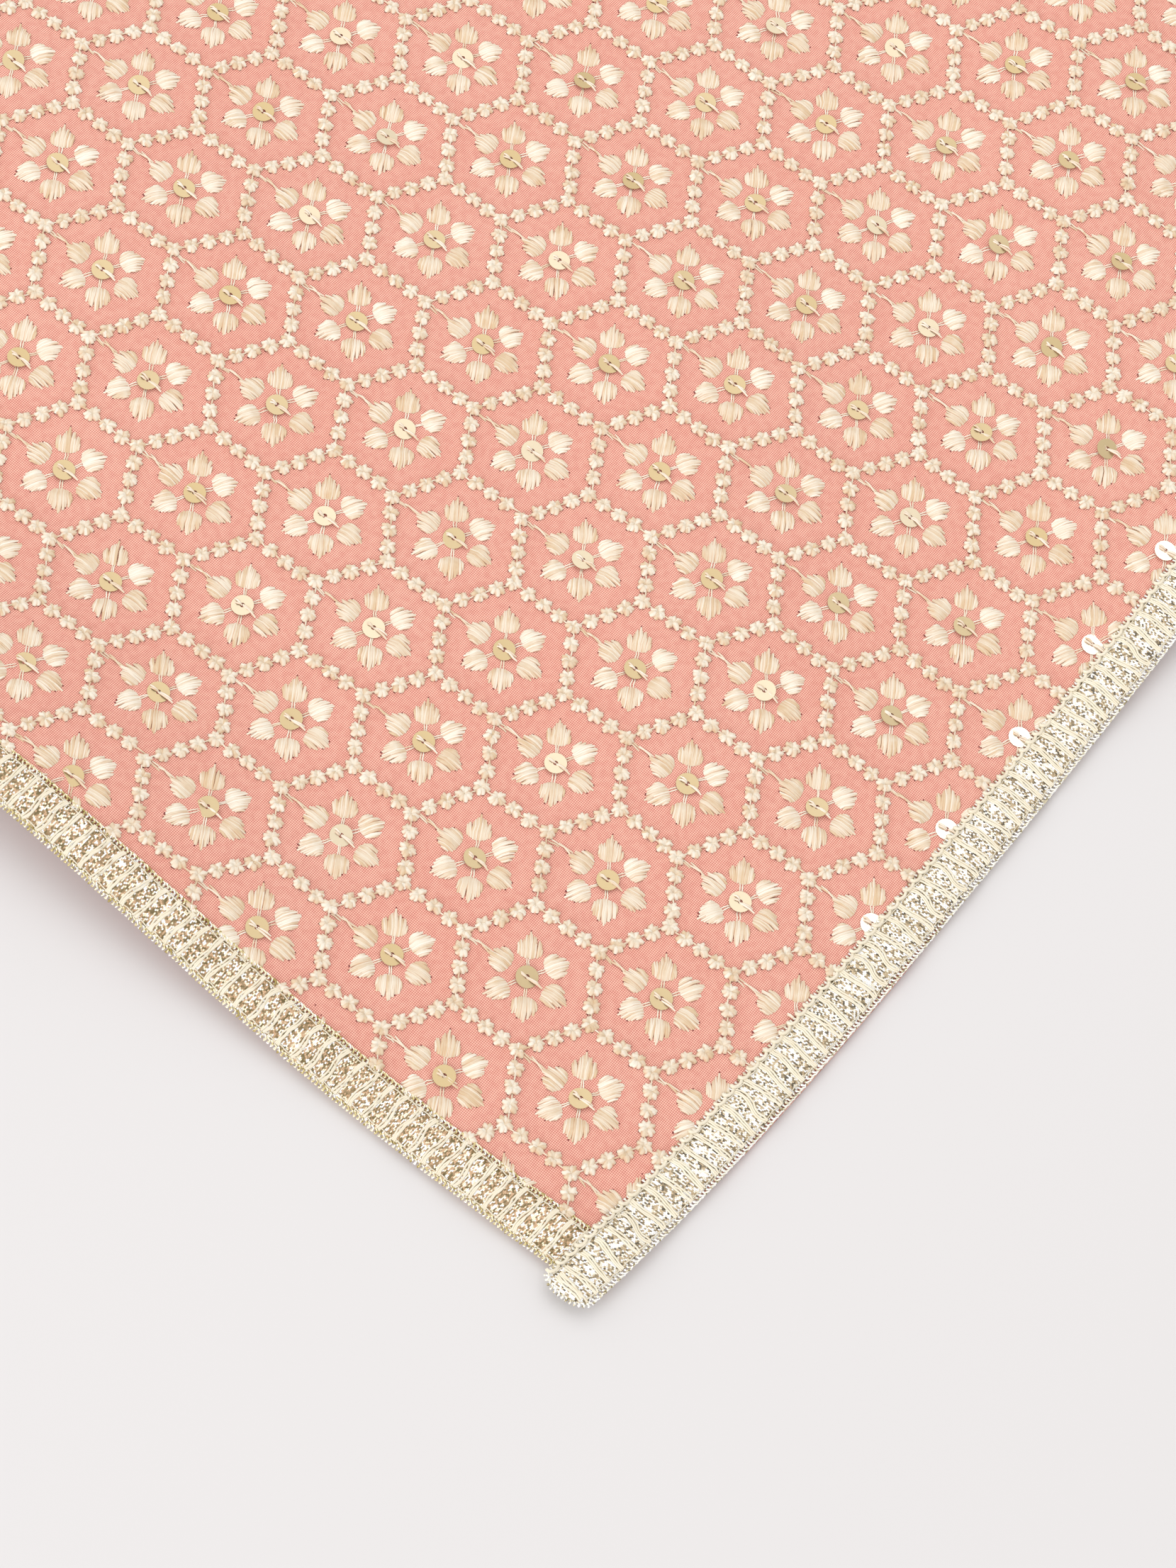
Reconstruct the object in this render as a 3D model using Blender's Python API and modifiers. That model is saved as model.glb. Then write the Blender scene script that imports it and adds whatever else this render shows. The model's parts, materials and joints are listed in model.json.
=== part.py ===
"""An embroidered dupatta stole, laid flat on a table.

One rectangle of light crepe lies as a single layer, its underside flat on the table but for
the soft ripples that lift it here and there. A woven metallic edging tape is sewn on all four
sides. The two long tapes lie over the ends of the two short ones, with their folded ends just
past the corners.

Flat coordinates: u runs along the length from the west end, v across the width from the south
side, both from the outer edge of the tape. The finished part is centred on the origin, with
the table at z = 0.
"""

from math import cos, exp, pi, radians, sin, sqrt

import bmesh
import bpy
from mathutils import Vector

MM = 0.001

# The size follows the embroidered repeat: whole flowers fit between the margins.
REPEAT = 23 * MM
ROW_STEP = REPEAT * sqrt(3) / 2
REPEATS_LONG = 89
ROWS_ACROSS = 34
END_MARGIN = 25 * MM
SIDE_MARGIN = 10.7 * MM
LENGTH = 2 * END_MARGIN + REPEATS_LONG * REPEAT
WIDTH = 2 * SIDE_MARGIN + ROWS_ACROSS * ROW_STEP

CLOTH_WALL = 1.0 * MM
TAPE_WIDTH = 9.0 * MM
TAPE_WALL = 1.0 * MM
SEWING_GAP = 0.3 * MM
CLOTH_INSIDE_TAPE = 0.8 * MM
TAPE_END_PAST_CORNER = 2.6 * MM
STEP_DOWN_AT = 18 * MM

# How the edges leave a straight line: pulled in by the tape at each corner, then swaying.
CORNER_TUCK = 7.6 * MM
CORNER_TUCK_REACH = 50 * MM
OTHER_CORNER_TUCK = 4.5 * MM
OTHER_TUCK_REACH = 70 * MM
SIDE_SWAY = 1.0 * MM
SIDE_SWAY_WAVE = 520 * MM
END_SWAY = 1.6 * MM
END_SWAY_WAVE = 260 * MM
END_SWAY_START = 40 * MM
EDGE_SHIFT_FULL = 10 * MM
EDGE_SHIFT_GONE = 80 * MM

# Grid steps: finer at the corner that is shown closest.
FINE_STEP = 18 * MM
FINE_REACH = 270 * MM
COARSE_STEP = 40 * MM

# Soft ripples in millimetres and degrees, each a low ridge that dies away to nothing.
RIPPLE_COLUMNS = ("u", "v", "half_length", "half_width", "height", "turn")
RIPPLES = (
    (-5, 150, 95, 60, 8.5, 90),
    (195, -5, 70, 55, 5.5, 0),
    (245, 62, 75, 45, 3.5, 35),
    (105, 215, 90, 60, 3.2, 70),
    (105, 62, 48, 34, 1.8, 20),
    (152, 100, 46, 34, 1.6, 60),
    (120, 420, 170, 65, 4.0, 100),
    (0, 600, 110, 70, 6.0, 90),
    (330, 400, 190, 70, 4.5, 62),
    (520, 120, 160, 70, 3.5, 100),
    (560, 610, 240, 80, 5.0, 12),
    (760, 330, 260, 80, 4.0, 75),
    (930, 80, 170, 75, 4.5, 5),
    (1010, 560, 200, 75, 3.5, 120),
    (1200, 250, 280, 80, 5.0, 82),
    (1380, 640, 180, 75, 4.0, 170),
    (1440, 60, 150, 70, 3.5, 88),
    (1560, 400, 250, 80, 4.5, 55),
    (1760, 180, 220, 75, 4.0, 98),
    (1830, 600, 200, 80, 5.0, 25),
    (2000, 350, 190, 75, 4.5, 80),
    (2097, 90, 110, 70, 5.5, 90),
    (2097, 560, 100, 65, 6.0, 90),
)


def clear_scene():
    for item in list(bpy.data.objects):
        bpy.data.objects.remove(item, do_unlink=True)


def smooth_fall(distance, full, gone):
    """1 up to full, then a smooth fall to 0 at gone."""
    share = min(max((distance - full) / (gone - full), 0.0), 1.0)
    return 1 - share * share * (3 - 2 * share)


def side_inset(along):
    """How far the south side lies in from its straight line; the north side is this turned."""
    near = CORNER_TUCK * exp(-along / CORNER_TUCK_REACH)
    far = OTHER_CORNER_TUCK * exp(-(LENGTH - along) / OTHER_TUCK_REACH)
    sway = SIDE_SWAY * (1 - cos(2 * pi * along / SIDE_SWAY_WAVE)) / 2
    return near + far - sway


def end_inset(across):
    """How far the west end lies in from its straight line; the east end is this turned."""
    return -END_SWAY * cos(2 * pi * (across - END_SWAY_START) / END_SWAY_WAVE)


def ripple_height(u, v):
    height = 0.0
    for row in RIPPLES:
        ripple = dict(zip(RIPPLE_COLUMNS, row))
        turn = radians(ripple["turn"])
        du, dv = u / MM - ripple["u"], v / MM - ripple["v"]
        along = (du * cos(turn) + dv * sin(turn)) / ripple["half_length"]
        across = (dv * cos(turn) - du * sin(turn)) / ripple["half_width"]
        inside = 1 - along * along - across * across
        if inside > 0:
            height += ripple["height"] * MM * inside * inside
    return height


def underside(u, v):
    """The point of the cloth's underside at flat place (u, v)."""
    south = side_inset(u) * smooth_fall(v, EDGE_SHIFT_FULL, EDGE_SHIFT_GONE)
    north = side_inset(LENGTH - u) * smooth_fall(WIDTH - v, EDGE_SHIFT_FULL, EDGE_SHIFT_GONE)
    west = end_inset(v) * smooth_fall(u, EDGE_SHIFT_FULL, EDGE_SHIFT_GONE)
    east = end_inset(WIDTH - v) * smooth_fall(LENGTH - u, EDGE_SHIFT_FULL, EDGE_SHIFT_GONE)
    x = u - LENGTH / 2 + west - east
    y = v - WIDTH / 2 + south - north
    return Vector((x, y, ripple_height(u, v)))


def upward(u, v):
    """The cloth's upward normal at flat place (u, v)."""
    step = 1 * MM
    along = underside(u + step, v) - underside(u - step, v)
    across = underside(u, v + step) - underside(u, v - step)
    return along.cross(across).normalized()


def grid_lines(total):
    """Where the panel's grid lines lie along one side: its edge, the tape's edge, then steps."""
    first = [CLOTH_INSIDE_TAPE, CLOTH_INSIDE_TAPE + TAPE_WIDTH, STEP_DOWN_AT]
    last = [total - line for line in reversed(first)]
    fine_count = round((FINE_REACH - STEP_DOWN_AT) / FINE_STEP)
    fine = [STEP_DOWN_AT + FINE_STEP * (i + 1) for i in range(fine_count)]
    room = last[0] - fine[-1]
    coarse_count = round(room / COARSE_STEP)
    coarse = [fine[-1] + room * (i + 1) / coarse_count for i in range(coarse_count - 1)]
    return first + fine + coarse + last


def mapped_grid(name, lines_a, lines_b, place, collection):
    """A primitive grid with its points moved to place(a, b) for each pair of lines."""
    bpy.ops.mesh.primitive_grid_add(
        x_subdivisions=len(lines_a) - 1, y_subdivisions=len(lines_b) - 1, size=2
    )
    sheet = bpy.context.active_object
    sheet.name = name
    sheet.data.name = name
    for vertex in sheet.data.vertices:
        i = round((vertex.co.x + 1) / 2 * (len(lines_a) - 1))
        j = round((vertex.co.y + 1) / 2 * (len(lines_b) - 1))
        vertex.co = place(lines_a[i], lines_b[j])
    for owner in list(sheet.users_collection):
        owner.objects.unlink(sheet)
    collection.objects.link(sheet)
    return sheet


def thicken(sheet, thickness):
    wall = sheet.modifiers.new("wall", "SOLIDIFY")
    wall.thickness = thickness
    wall.offset = 1
    wall.use_even_offset = True
    sheet.data.shade_smooth()
    sheet.data.set_sharp_from_angle(angle=radians(40))


def make_up_facing(sheet):
    mesh = bmesh.new()
    mesh.from_mesh(sheet.data)
    mesh.normal_update()
    if sum(face.normal.z for face in mesh.faces) < 0:
        bmesh.ops.reverse_faces(mesh, faces=mesh.faces[:])
    mesh.to_mesh(sheet.data)
    mesh.free()


def finish(name, colour, roughness, metallic):
    material = bpy.data.materials.new(name)
    material.use_nodes = True
    shader = material.node_tree.nodes["Principled BSDF"]
    shader.inputs["Base Color"].default_value = (*colour, 1)
    shader.inputs["Roughness"].default_value = roughness
    shader.inputs["Metallic"].default_value = metallic
    return material


def rim_point(lines, place):
    """The pair of grid lines of the rim cell beside place, and how far place is between them."""
    low, high = (lines[0], lines[1]) if place < lines[len(lines) // 2] else (lines[-2], lines[-1])
    return low, high, (place - low) / (high - low)


def on_side_rim(lines_v, u, v, lift):
    """A point lift above the rim cell of a long side, on the same straight lines as the panel."""
    low, high, share = rim_point(lines_v, v)
    point = underside(u, low).lerp(underside(u, high), share)
    normal = upward(u, low).lerp(upward(u, high), share).normalized()
    return point + normal * lift


def on_end_rim(lines_u, u, v, lift):
    low, high, share = rim_point(lines_u, u)
    point = underside(low, v).lerp(underside(high, v), share)
    normal = upward(low, v).lerp(upward(high, v), share).normalized()
    return point + normal * lift


def build():
    clear_scene()
    collection = bpy.data.collections.new("dupatta_stole")
    bpy.context.scene.collection.children.link(collection)
    crepe = finish("salmon_crepe", (0.82, 0.40, 0.33), 0.75, 0.0)
    metallic_tape = finish("metallic_tape", (0.74, 0.64, 0.42), 0.35, 0.6)

    lines_u = grid_lines(LENGTH)
    lines_v = grid_lines(WIDTH)
    panel = mapped_grid("cloth_panel", lines_u, lines_v, underside, collection)
    make_up_facing(panel)
    thicken(panel, CLOTH_WALL)
    panel.data.materials.append(crepe)

    bed = CLOTH_WALL + SEWING_GAP
    over_tape = TAPE_WALL + SEWING_GAP
    tape_ends = (-TAPE_END_PAST_CORNER, LENGTH + TAPE_END_PAST_CORNER)
    across = (0.0, TAPE_WIDTH / 2, TAPE_WIDTH)

    def side_tape_place(u, v):
        crossing = min(u, LENGTH - u) < STEP_DOWN_AT - MM
        return on_side_rim(lines_v, u, v, bed + (over_tape if crossing else 0.0))

    def end_tape_place(v, u):
        return on_end_rim(lines_u, u, v, bed)

    long_lines = (tape_ends[0], *lines_u, tape_ends[1])
    inner_side = tuple(WIDTH - line for line in reversed(across))
    inner_end = tuple(LENGTH - line for line in reversed(across))
    tapes = (
        mapped_grid("lace_south", long_lines, across, side_tape_place, collection),
        mapped_grid("lace_north", long_lines, inner_side, side_tape_place, collection),
        mapped_grid("lace_west", lines_v, across, end_tape_place, collection),
        mapped_grid("lace_east", lines_v, inner_end, end_tape_place, collection),
    )
    for tape in tapes:
        make_up_facing(tape)
        thicken(tape, TAPE_WALL)
        tape.data.materials.append(metallic_tape)


build()
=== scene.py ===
import json

import bpy
import numpy as np
from mathutils import Matrix, Vector

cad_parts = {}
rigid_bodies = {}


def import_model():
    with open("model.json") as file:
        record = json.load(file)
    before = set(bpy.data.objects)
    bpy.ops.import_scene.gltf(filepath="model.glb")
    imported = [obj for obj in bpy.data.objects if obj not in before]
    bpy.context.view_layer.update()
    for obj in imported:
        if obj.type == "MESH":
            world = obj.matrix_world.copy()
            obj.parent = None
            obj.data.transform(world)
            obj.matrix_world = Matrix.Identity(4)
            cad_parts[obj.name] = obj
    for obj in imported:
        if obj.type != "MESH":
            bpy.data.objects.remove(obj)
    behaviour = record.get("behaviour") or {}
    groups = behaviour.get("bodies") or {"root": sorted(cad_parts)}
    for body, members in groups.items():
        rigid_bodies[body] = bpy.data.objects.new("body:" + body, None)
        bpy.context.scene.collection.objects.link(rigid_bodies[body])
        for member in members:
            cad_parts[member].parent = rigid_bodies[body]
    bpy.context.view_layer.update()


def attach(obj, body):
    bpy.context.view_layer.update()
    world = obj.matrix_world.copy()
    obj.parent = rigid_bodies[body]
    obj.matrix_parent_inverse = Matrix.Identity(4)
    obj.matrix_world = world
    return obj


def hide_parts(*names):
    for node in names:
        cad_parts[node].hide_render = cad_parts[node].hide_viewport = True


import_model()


# The stole itself: one rectangle of salmon polyester crepe, a light plain weave with a matt, grainy
# face. It lies flat in one layer. Low ripples lift it here and there, and the tape and the dense
# embroidery draw it into small puckers.
MM = 0.001
REPEAT = 23 * MM
ROW_STEP = REPEAT * np.sqrt(3) / 2
REPEATS_LONG = 89
ROWS_ACROSS = 34
END_MARGIN = 25 * MM
SIDE_MARGIN = 10.7 * MM
LENGTH = 2 * END_MARGIN + REPEATS_LONG * REPEAT
WIDTH = 2 * SIDE_MARGIN + ROWS_ACROSS * ROW_STEP
CLOTH_WALL = 0.6 * MM
CLOTH_OFF_TABLE = 0.1 * MM
CLOTH_INSIDE_TAPE = 0.8 * MM
TAPE_WIDTH = 9.0 * MM

CORNER_TUCK = 7.6 * MM
CORNER_TUCK_REACH = 50 * MM
OTHER_CORNER_TUCK = 4.5 * MM
OTHER_TUCK_REACH = 70 * MM
SIDE_SWAY = 1.0 * MM
SIDE_SWAY_WAVE = 520 * MM
END_SWAY = 1.6 * MM
END_SWAY_WAVE = 260 * MM
END_SWAY_START = 40 * MM
EDGE_SHIFT_FULL = 10 * MM
EDGE_SHIFT_GONE = 80 * MM

# Ripples in millimetres and degrees, each a low ridge that dies away to nothing.
RIPPLE_COLUMNS = ("u", "v", "half_length", "half_width", "height", "turn")
RIPPLES = (
    (-5, 150, 95, 60, 8.5, 90),
    (195, -5, 70, 55, 5.5, 0),
    (245, 62, 75, 45, 3.5, 35),
    (105, 215, 90, 60, 3.2, 70),
    (105, 62, 48, 34, 1.8, 20),
    (152, 100, 46, 34, 1.6, 60),
    (120, 420, 170, 65, 4.0, 100),
    (0, 600, 110, 70, 6.0, 90),
    (330, 400, 190, 70, 4.5, 62),
    (520, 120, 160, 70, 3.5, 100),
    (560, 610, 240, 80, 5.0, 12),
    (760, 330, 260, 80, 4.0, 75),
    (930, 80, 170, 75, 4.5, 5),
    (1010, 560, 200, 75, 3.5, 120),
    (1200, 250, 280, 80, 5.0, 82),
    (1380, 640, 180, 75, 4.0, 170),
    (1440, 60, 150, 70, 3.5, 88),
    (1560, 400, 250, 80, 4.5, 55),
    (1760, 180, 220, 75, 4.0, 98),
    (1830, 600, 200, 80, 5.0, 25),
    (2000, 350, 190, 75, 4.5, 80),
    (2097, 90, 110, 70, 5.5, 90),
    (2097, 560, 100, 65, 6.0, 90),
)
PUCKER_HEIGHT = 0.45 * MM
PUCKER_WAVE = 13 * MM
PUCKER_REACH = 30 * MM
STITCH_PULL = 0.16 * MM


def smooth_fall(distance, full, gone):
    """1 up to full, then a smooth fall to 0 at gone."""
    share = np.clip((distance - full) / (gone - full), 0, 1)
    return 1 - share * share * (3 - 2 * share)


def side_inset(along):
    near = CORNER_TUCK * np.exp(-along / CORNER_TUCK_REACH)
    far = OTHER_CORNER_TUCK * np.exp(-(LENGTH - along) / OTHER_TUCK_REACH)
    sway = SIDE_SWAY * (1 - np.cos(2 * np.pi * along / SIDE_SWAY_WAVE)) / 2
    return near + far - sway


def end_inset(across):
    return -END_SWAY * np.cos(2 * np.pi * (across - END_SWAY_START) / END_SWAY_WAVE)


def ripple_height(u, v):
    height = np.zeros(np.broadcast(u, v).shape)
    for row in RIPPLES:
        ripple = dict(zip(RIPPLE_COLUMNS, row))
        turn = np.radians(ripple["turn"])
        du = u / MM - ripple["u"]
        dv = v / MM - ripple["v"]
        along = (du * np.cos(turn) + dv * np.sin(turn)) / ripple["half_length"]
        across = (dv * np.cos(turn) - du * np.sin(turn)) / ripple["half_width"]
        inside = np.clip(1 - along**2 - across**2, 0, None)
        height += ripple["height"] * MM * inside**2
    return height


def pucker_wave(along):
    return 0.5 + 0.5 * np.sin(2 * np.pi * along / PUCKER_WAVE + 1.6 * np.sin(along / (9 * MM)))


def pucker_height(u, v):
    """Small gathers along the sewn edges, and the slight pull of the stitches elsewhere."""
    to_side = np.minimum(v, WIDTH - v)
    to_end = np.minimum(u, LENGTH - u)
    sides = pucker_wave(u + 0.5 * v) * smooth_fall(to_side, TAPE_WIDTH, TAPE_WIDTH + PUCKER_REACH)
    ends = pucker_wave(v - 0.4 * u) * smooth_fall(to_end, TAPE_WIDTH, TAPE_WIDTH + PUCKER_REACH)
    pull = 0.5 + 0.5 * np.sin(u / (1.9 * MM) + v / (4.1 * MM)) * np.sin(v / (2.3 * MM) - u / (5.7 * MM))
    return PUCKER_HEIGHT * (sides + 0.6 * ends) + STITCH_PULL * pull


def cloth_point(u, v, lift=0.0):
    """Points at flat places (u, v), lift above the cloth's upper face."""
    south = side_inset(u) * smooth_fall(v, EDGE_SHIFT_FULL, EDGE_SHIFT_GONE)
    north = side_inset(LENGTH - u) * smooth_fall(WIDTH - v, EDGE_SHIFT_FULL, EDGE_SHIFT_GONE)
    west = end_inset(v) * smooth_fall(u, EDGE_SHIFT_FULL, EDGE_SHIFT_GONE)
    east = end_inset(WIDTH - v) * smooth_fall(LENGTH - u, EDGE_SHIFT_FULL, EDGE_SHIFT_GONE)
    x = u - LENGTH / 2 + west - east
    y = v - WIDTH / 2 + south - north
    z = CLOTH_OFF_TABLE + CLOTH_WALL + ripple_height(u, v) + pucker_height(u, v) + lift
    return np.stack(np.broadcast_arrays(x, y, z), axis=-1)


def linear(code):
    """Linear RGBA of an sRGB hex colour."""
    parts = [int(code[i : i + 2], 16) / 255 for i in (1, 3, 5)]
    return (*[p / 12.92 if p <= 0.04045 else ((p + 0.055) / 1.055) ** 2.4 for p in parts], 1)


def feed(node, inputs):
    """Sets a node's inputs, each from a value, a socket, or a node for its first output in use."""
    for name, source in inputs.items():
        if isinstance(source, bpy.types.Node):
            source = next(socket for socket in source.outputs if not socket.is_unavailable)
        if isinstance(source, bpy.types.NodeSocket):
            node.id_data.links.new(source, node.inputs[name])
        else:
            node.inputs[name].default_value = source


def add_node(tree, kind, inputs=None, **settings):
    """Adds a node with its settings and inputs."""
    node = tree.nodes.new(kind)
    for field, value in settings.items():
        setattr(node, field, value)
    feed(node, inputs or {})
    return node


def new_material(name):
    """A new material, its node tree and its shader."""
    material = bpy.data.materials.new(name)
    material.use_nodes = True
    return material, material.node_tree, material.node_tree.nodes["Principled BSDF"]


def yarn_rows(tree, across, pitch):
    """1 along the middle of each yarn, and 0 between two."""
    turn = add_node(tree, "ShaderNodeMath", {0: across, 1: np.pi / pitch}, operation="MULTIPLY")
    wave = add_node(tree, "ShaderNodeMath", {0: turn}, operation="SINE")
    return add_node(tree, "ShaderNodeMath", {0: wave}, operation="ABSOLUTE")


def patchy(tree, scale, detail):
    """Soft patches over the whole piece."""
    place = add_node(tree, "ShaderNodeTexCoord").outputs["Object"]
    return add_node(tree, "ShaderNodeTexNoise", {"Scale": scale, "Detail": detail, "Vector": place})


def store_values(mesh, name, values, kind="FLOAT"):
    """Keeps a value, or a vector, for each point of a mesh."""
    layer = mesh.attributes.new(name, kind, "POINT")
    field = "value" if kind == "FLOAT" else "vector"
    layer.data.foreach_set(field, np.asarray(values, np.float32).ravel())


def keep_mesh(name, points, faces, material, uv=None, smooth=True):
    """A mesh object at the origin; uv has a pair of millimetre values for each point."""
    mesh = bpy.data.meshes.new(name)
    mesh.from_pydata([tuple(p) for p in np.asarray(points, float)], [], [tuple(f) for f in faces])
    if uv is not None:
        layer = mesh.uv_layers.new(name="millimetres")
        corners = np.empty(len(mesh.loops), np.int32)
        mesh.loops.foreach_get("vertex_index", corners)
        layer.data.foreach_set("uv", np.asarray(uv, np.float32)[corners].ravel())
    mesh.shade_smooth() if smooth else mesh.shade_flat()
    piece = bpy.data.objects.new(name, mesh)
    bpy.context.scene.collection.objects.link(piece)
    if material:
        mesh.materials.append(material)
    return piece


def closed_sheet(name, top, bottom, material, uv=None):
    """A thin closed shell from two grids of points, one for each face."""
    rows, columns = top.shape[:2]
    count = rows * columns
    index = np.arange(count).reshape(rows, columns)
    a, b = index[:-1, :-1], index[1:, :-1]
    c, d = index[1:, 1:], index[:-1, 1:]
    upper = np.stack([a, b, c, d], -1).reshape(-1, 4)
    lower = np.stack([d, c, b, a], -1).reshape(-1, 4) + count
    rim = np.concatenate([index[:, 0], index[-1, 1:], index[-2::-1, -1], index[0, -2:0:-1]])
    after = np.roll(rim, -1)
    walls = np.stack([rim, rim + count, after + count, after], -1)
    points = np.concatenate([top.reshape(-1, 3), bottom.reshape(-1, 3)])
    faces = np.concatenate([upper, lower, walls])
    if uv is not None:
        uv = np.concatenate([uv.reshape(-1, 2)] * 2)
    return keep_mesh(name, points, faces.tolist(), material, uv)


def stepped(start, fine_end, end, fine, coarse):
    """Places from start to end, fine steps up to fine_end and coarse ones past it."""
    near = np.linspace(start, fine_end, round((fine_end - start) / fine) + 1)
    far = np.linspace(fine_end, end, round((end - fine_end) / coarse) + 1)
    return np.concatenate([near, far[1:]])


# Plain-woven polyester crepe: dull hard-twisted yarns, each crossing a tiny pale grain, with painted shade
# in the gap beside it, and a faint sheen at grazing angles.
CREPE_GRAIN = "#FFCBB7"
CREPE_GAP_SHADE = "#A8433C"
CREPE_SHADE = "#FDBFAA"
# The real yarns are about 0.32 mm apart, too fine for the render, so they are drawn a little wider.
CREPE_PITCH = 0.35 * MM
crepe, tree, shader = new_material("salmon_polyester_crepe_plain_weave")
place = add_node(tree, "ShaderNodeTexCoord")
axes = add_node(tree, "ShaderNodeSeparateXYZ", {"Vector": place.outputs["Object"]})
warp = yarn_rows(tree, axes.outputs["X"], CREPE_PITCH)
weft = yarn_rows(tree, axes.outputs["Y"], CREPE_PITCH)
grain = add_node(tree, "ShaderNodeMath", {0: warp, 1: weft}, operation="MULTIPLY")
spread = add_node(
    tree,
    "ShaderNodeMapRange",
    {"From Min": 0.3, "From Max": 0.7, "To Min": 0.75, "To Max": 1.2, "Value": patchy(tree, 900.0, 1.0)},
)
shown = add_node(tree, "ShaderNodeMath", {0: grain, 1: spread}, operation="MULTIPLY")
tone = add_node(
    tree,
    "ShaderNodeMix",
    {"A": linear(CREPE_GRAIN), "B": linear(CREPE_SHADE), "Factor": patchy(tree, 28.0, 3.0)},
    data_type="RGBA",
)
full = add_node(tree, "ShaderNodeMath", {0: shown, 1: 0.52}, operation="POWER", use_clamp=True)
# Where the grains fall away, the colour goes over to the painted shade between the yarns.
colour = add_node(
    tree, "ShaderNodeMix", {"A": linear(CREPE_GAP_SHADE), "B": tone, "Factor": full}, data_type="RGBA"
)
relief = add_node(tree, "ShaderNodeBump", {"Strength": 0.35, "Distance": 0.1 * MM, "Height": shown})
feed(
    shader,
    {"Base Color": colour, "Normal": relief, "Roughness": 0.82, "Sheen Weight": 0.12, "Sheen Roughness": 0.5},
)

FINE_STEP = 3.5 * MM
COARSE_STEP = 14 * MM
FINE_LENGTH = 285 * MM
FINE_WIDTH = 252 * MM
lines_u = stepped(CLOTH_INSIDE_TAPE, FINE_LENGTH, LENGTH - CLOTH_INSIDE_TAPE, FINE_STEP, COARSE_STEP)
lines_v = stepped(CLOTH_INSIDE_TAPE, FINE_WIDTH, WIDTH - CLOTH_INSIDE_TAPE, FINE_STEP, COARSE_STEP)
grid_u, grid_v = np.meshgrid(lines_u, lines_v, indexing="ij")
# A narrow strip of the cloth's turned edge peeps out beyond the tape near the corner.
PEEP = 1.1 * MM
peep = PEEP * smooth_fall(np.abs(lines_u - 58 * MM), 20 * MM, 42 * MM)
grid_v[:, 0] -= peep
upper_face = cloth_point(grid_u, grid_v)
lower_face = upper_face - np.array((0, 0, CLOTH_WALL))
cloth = closed_sheet("crepe_cloth", upper_face, lower_face, crepe)
to_edge = np.minimum(np.minimum(grid_u, LENGTH - grid_u), np.minimum(grid_v, WIDTH - grid_v)).ravel()
store_values(cloth.data, "to_edge", np.concatenate([to_edge, to_edge]))
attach(cloth, "root")
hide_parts("cloth_panel")


# The embroidery: cream rayon satin stitch, machine-sewn through the cloth. Each cell of the jaal is a
# hexagon of little eyelet stars, with a flower of six satin petals inside and a jump thread from the
# star at its corner. Every stitch is one half-round thread that dives into a needle hole at each end.
HEX_RADIUS = REPEAT / np.sqrt(3)
PETAL_TURNS = (30, 90, 150, 210, 270, 330)
# Each petal's tone, by its turn, is painted sheen: paler or more golden as its threads would catch the light.
PETAL_SHEEN_TONES = (0.35, 0.3, 0.1, 0.3, 0.35, 0.05)
PETAL_THREADS = 15
PETAL_HALF_WIDTH = 2.15 * MM
# The threads of a petal draw together into this many points along its outer edge, by this share.
PETAL_POINTS = 5
PETAL_DRAWN = 0.28
# Half of a petal's outline, in millimetres: how far out it runs, from and to, at each place across.
PETAL_ACROSS = (0.0, 0.5, 1.0, 1.5, 2.0, 2.3)
PETAL_OUTER = (8.3, 7.8, 7.35, 6.95, 6.5, 5.7)
PETAL_INNER = (3.5, 3.5, 3.6, 3.75, 4.0, 4.4)
STAR_SPOKES = 9
STAR_RADIUS = 1.38 * MM
STARS_AN_EDGE = 4
HOLE_PAST_STITCH = 0.16 * MM
HOLE_RADIUS = 0.17 * MM
# Whatever lies on the cloth or the tape is dropped on it from this height.
DROP_FROM = 50 * MM
PLAN_COLUMNS = ("width", "rise", "loose", "bury", "hole_from", "tone")
# A stitch whose hole_from is below 1 has a needle hole past its outer end: a dark disc of painted shade.
WITH_HOLE = 0.985
WITHOUT_HOLE = 2.0
# Beside the tape, the embroidery shows from this far in from the edge.
SEWN_FROM = TAPE_WIDTH - 0.5 * MM


def turned(x, y, degrees):
    a = np.radians(degrees)
    return x * np.cos(a) - y * np.sin(a), x * np.sin(a) + y * np.cos(a)


def stitch_plan(name, stitches):
    """An edge for each stitch: its two ends, then what PLAN_COLUMNS names."""
    stitches = np.array(stitches, float)
    ends = stitches[:, :4].reshape(-1, 2)
    points = [(x, y, 0) for x, y in ends]
    mesh = bpy.data.meshes.new(name)
    mesh.from_pydata(points, [(i, i + 1) for i in range(0, len(points), 2)], [])
    store_values(mesh, "along", np.tile((0.0, 1.0), len(stitches)))
    ahead = stitches[:, 2:4] - stitches[:, :2]
    ahead *= HOLE_PAST_STITCH / np.linalg.norm(ahead, axis=1, keepdims=True)
    beyond = np.repeat(np.pad(ahead, ((0, 0), (0, 1))), 2, axis=0)
    store_values(mesh, "beyond", beyond, "FLOAT_VECTOR")
    for column, values in zip(PLAN_COLUMNS, stitches[:, 4:].T):
        store_values(mesh, column, np.repeat(values, 2))
    return mesh


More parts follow.
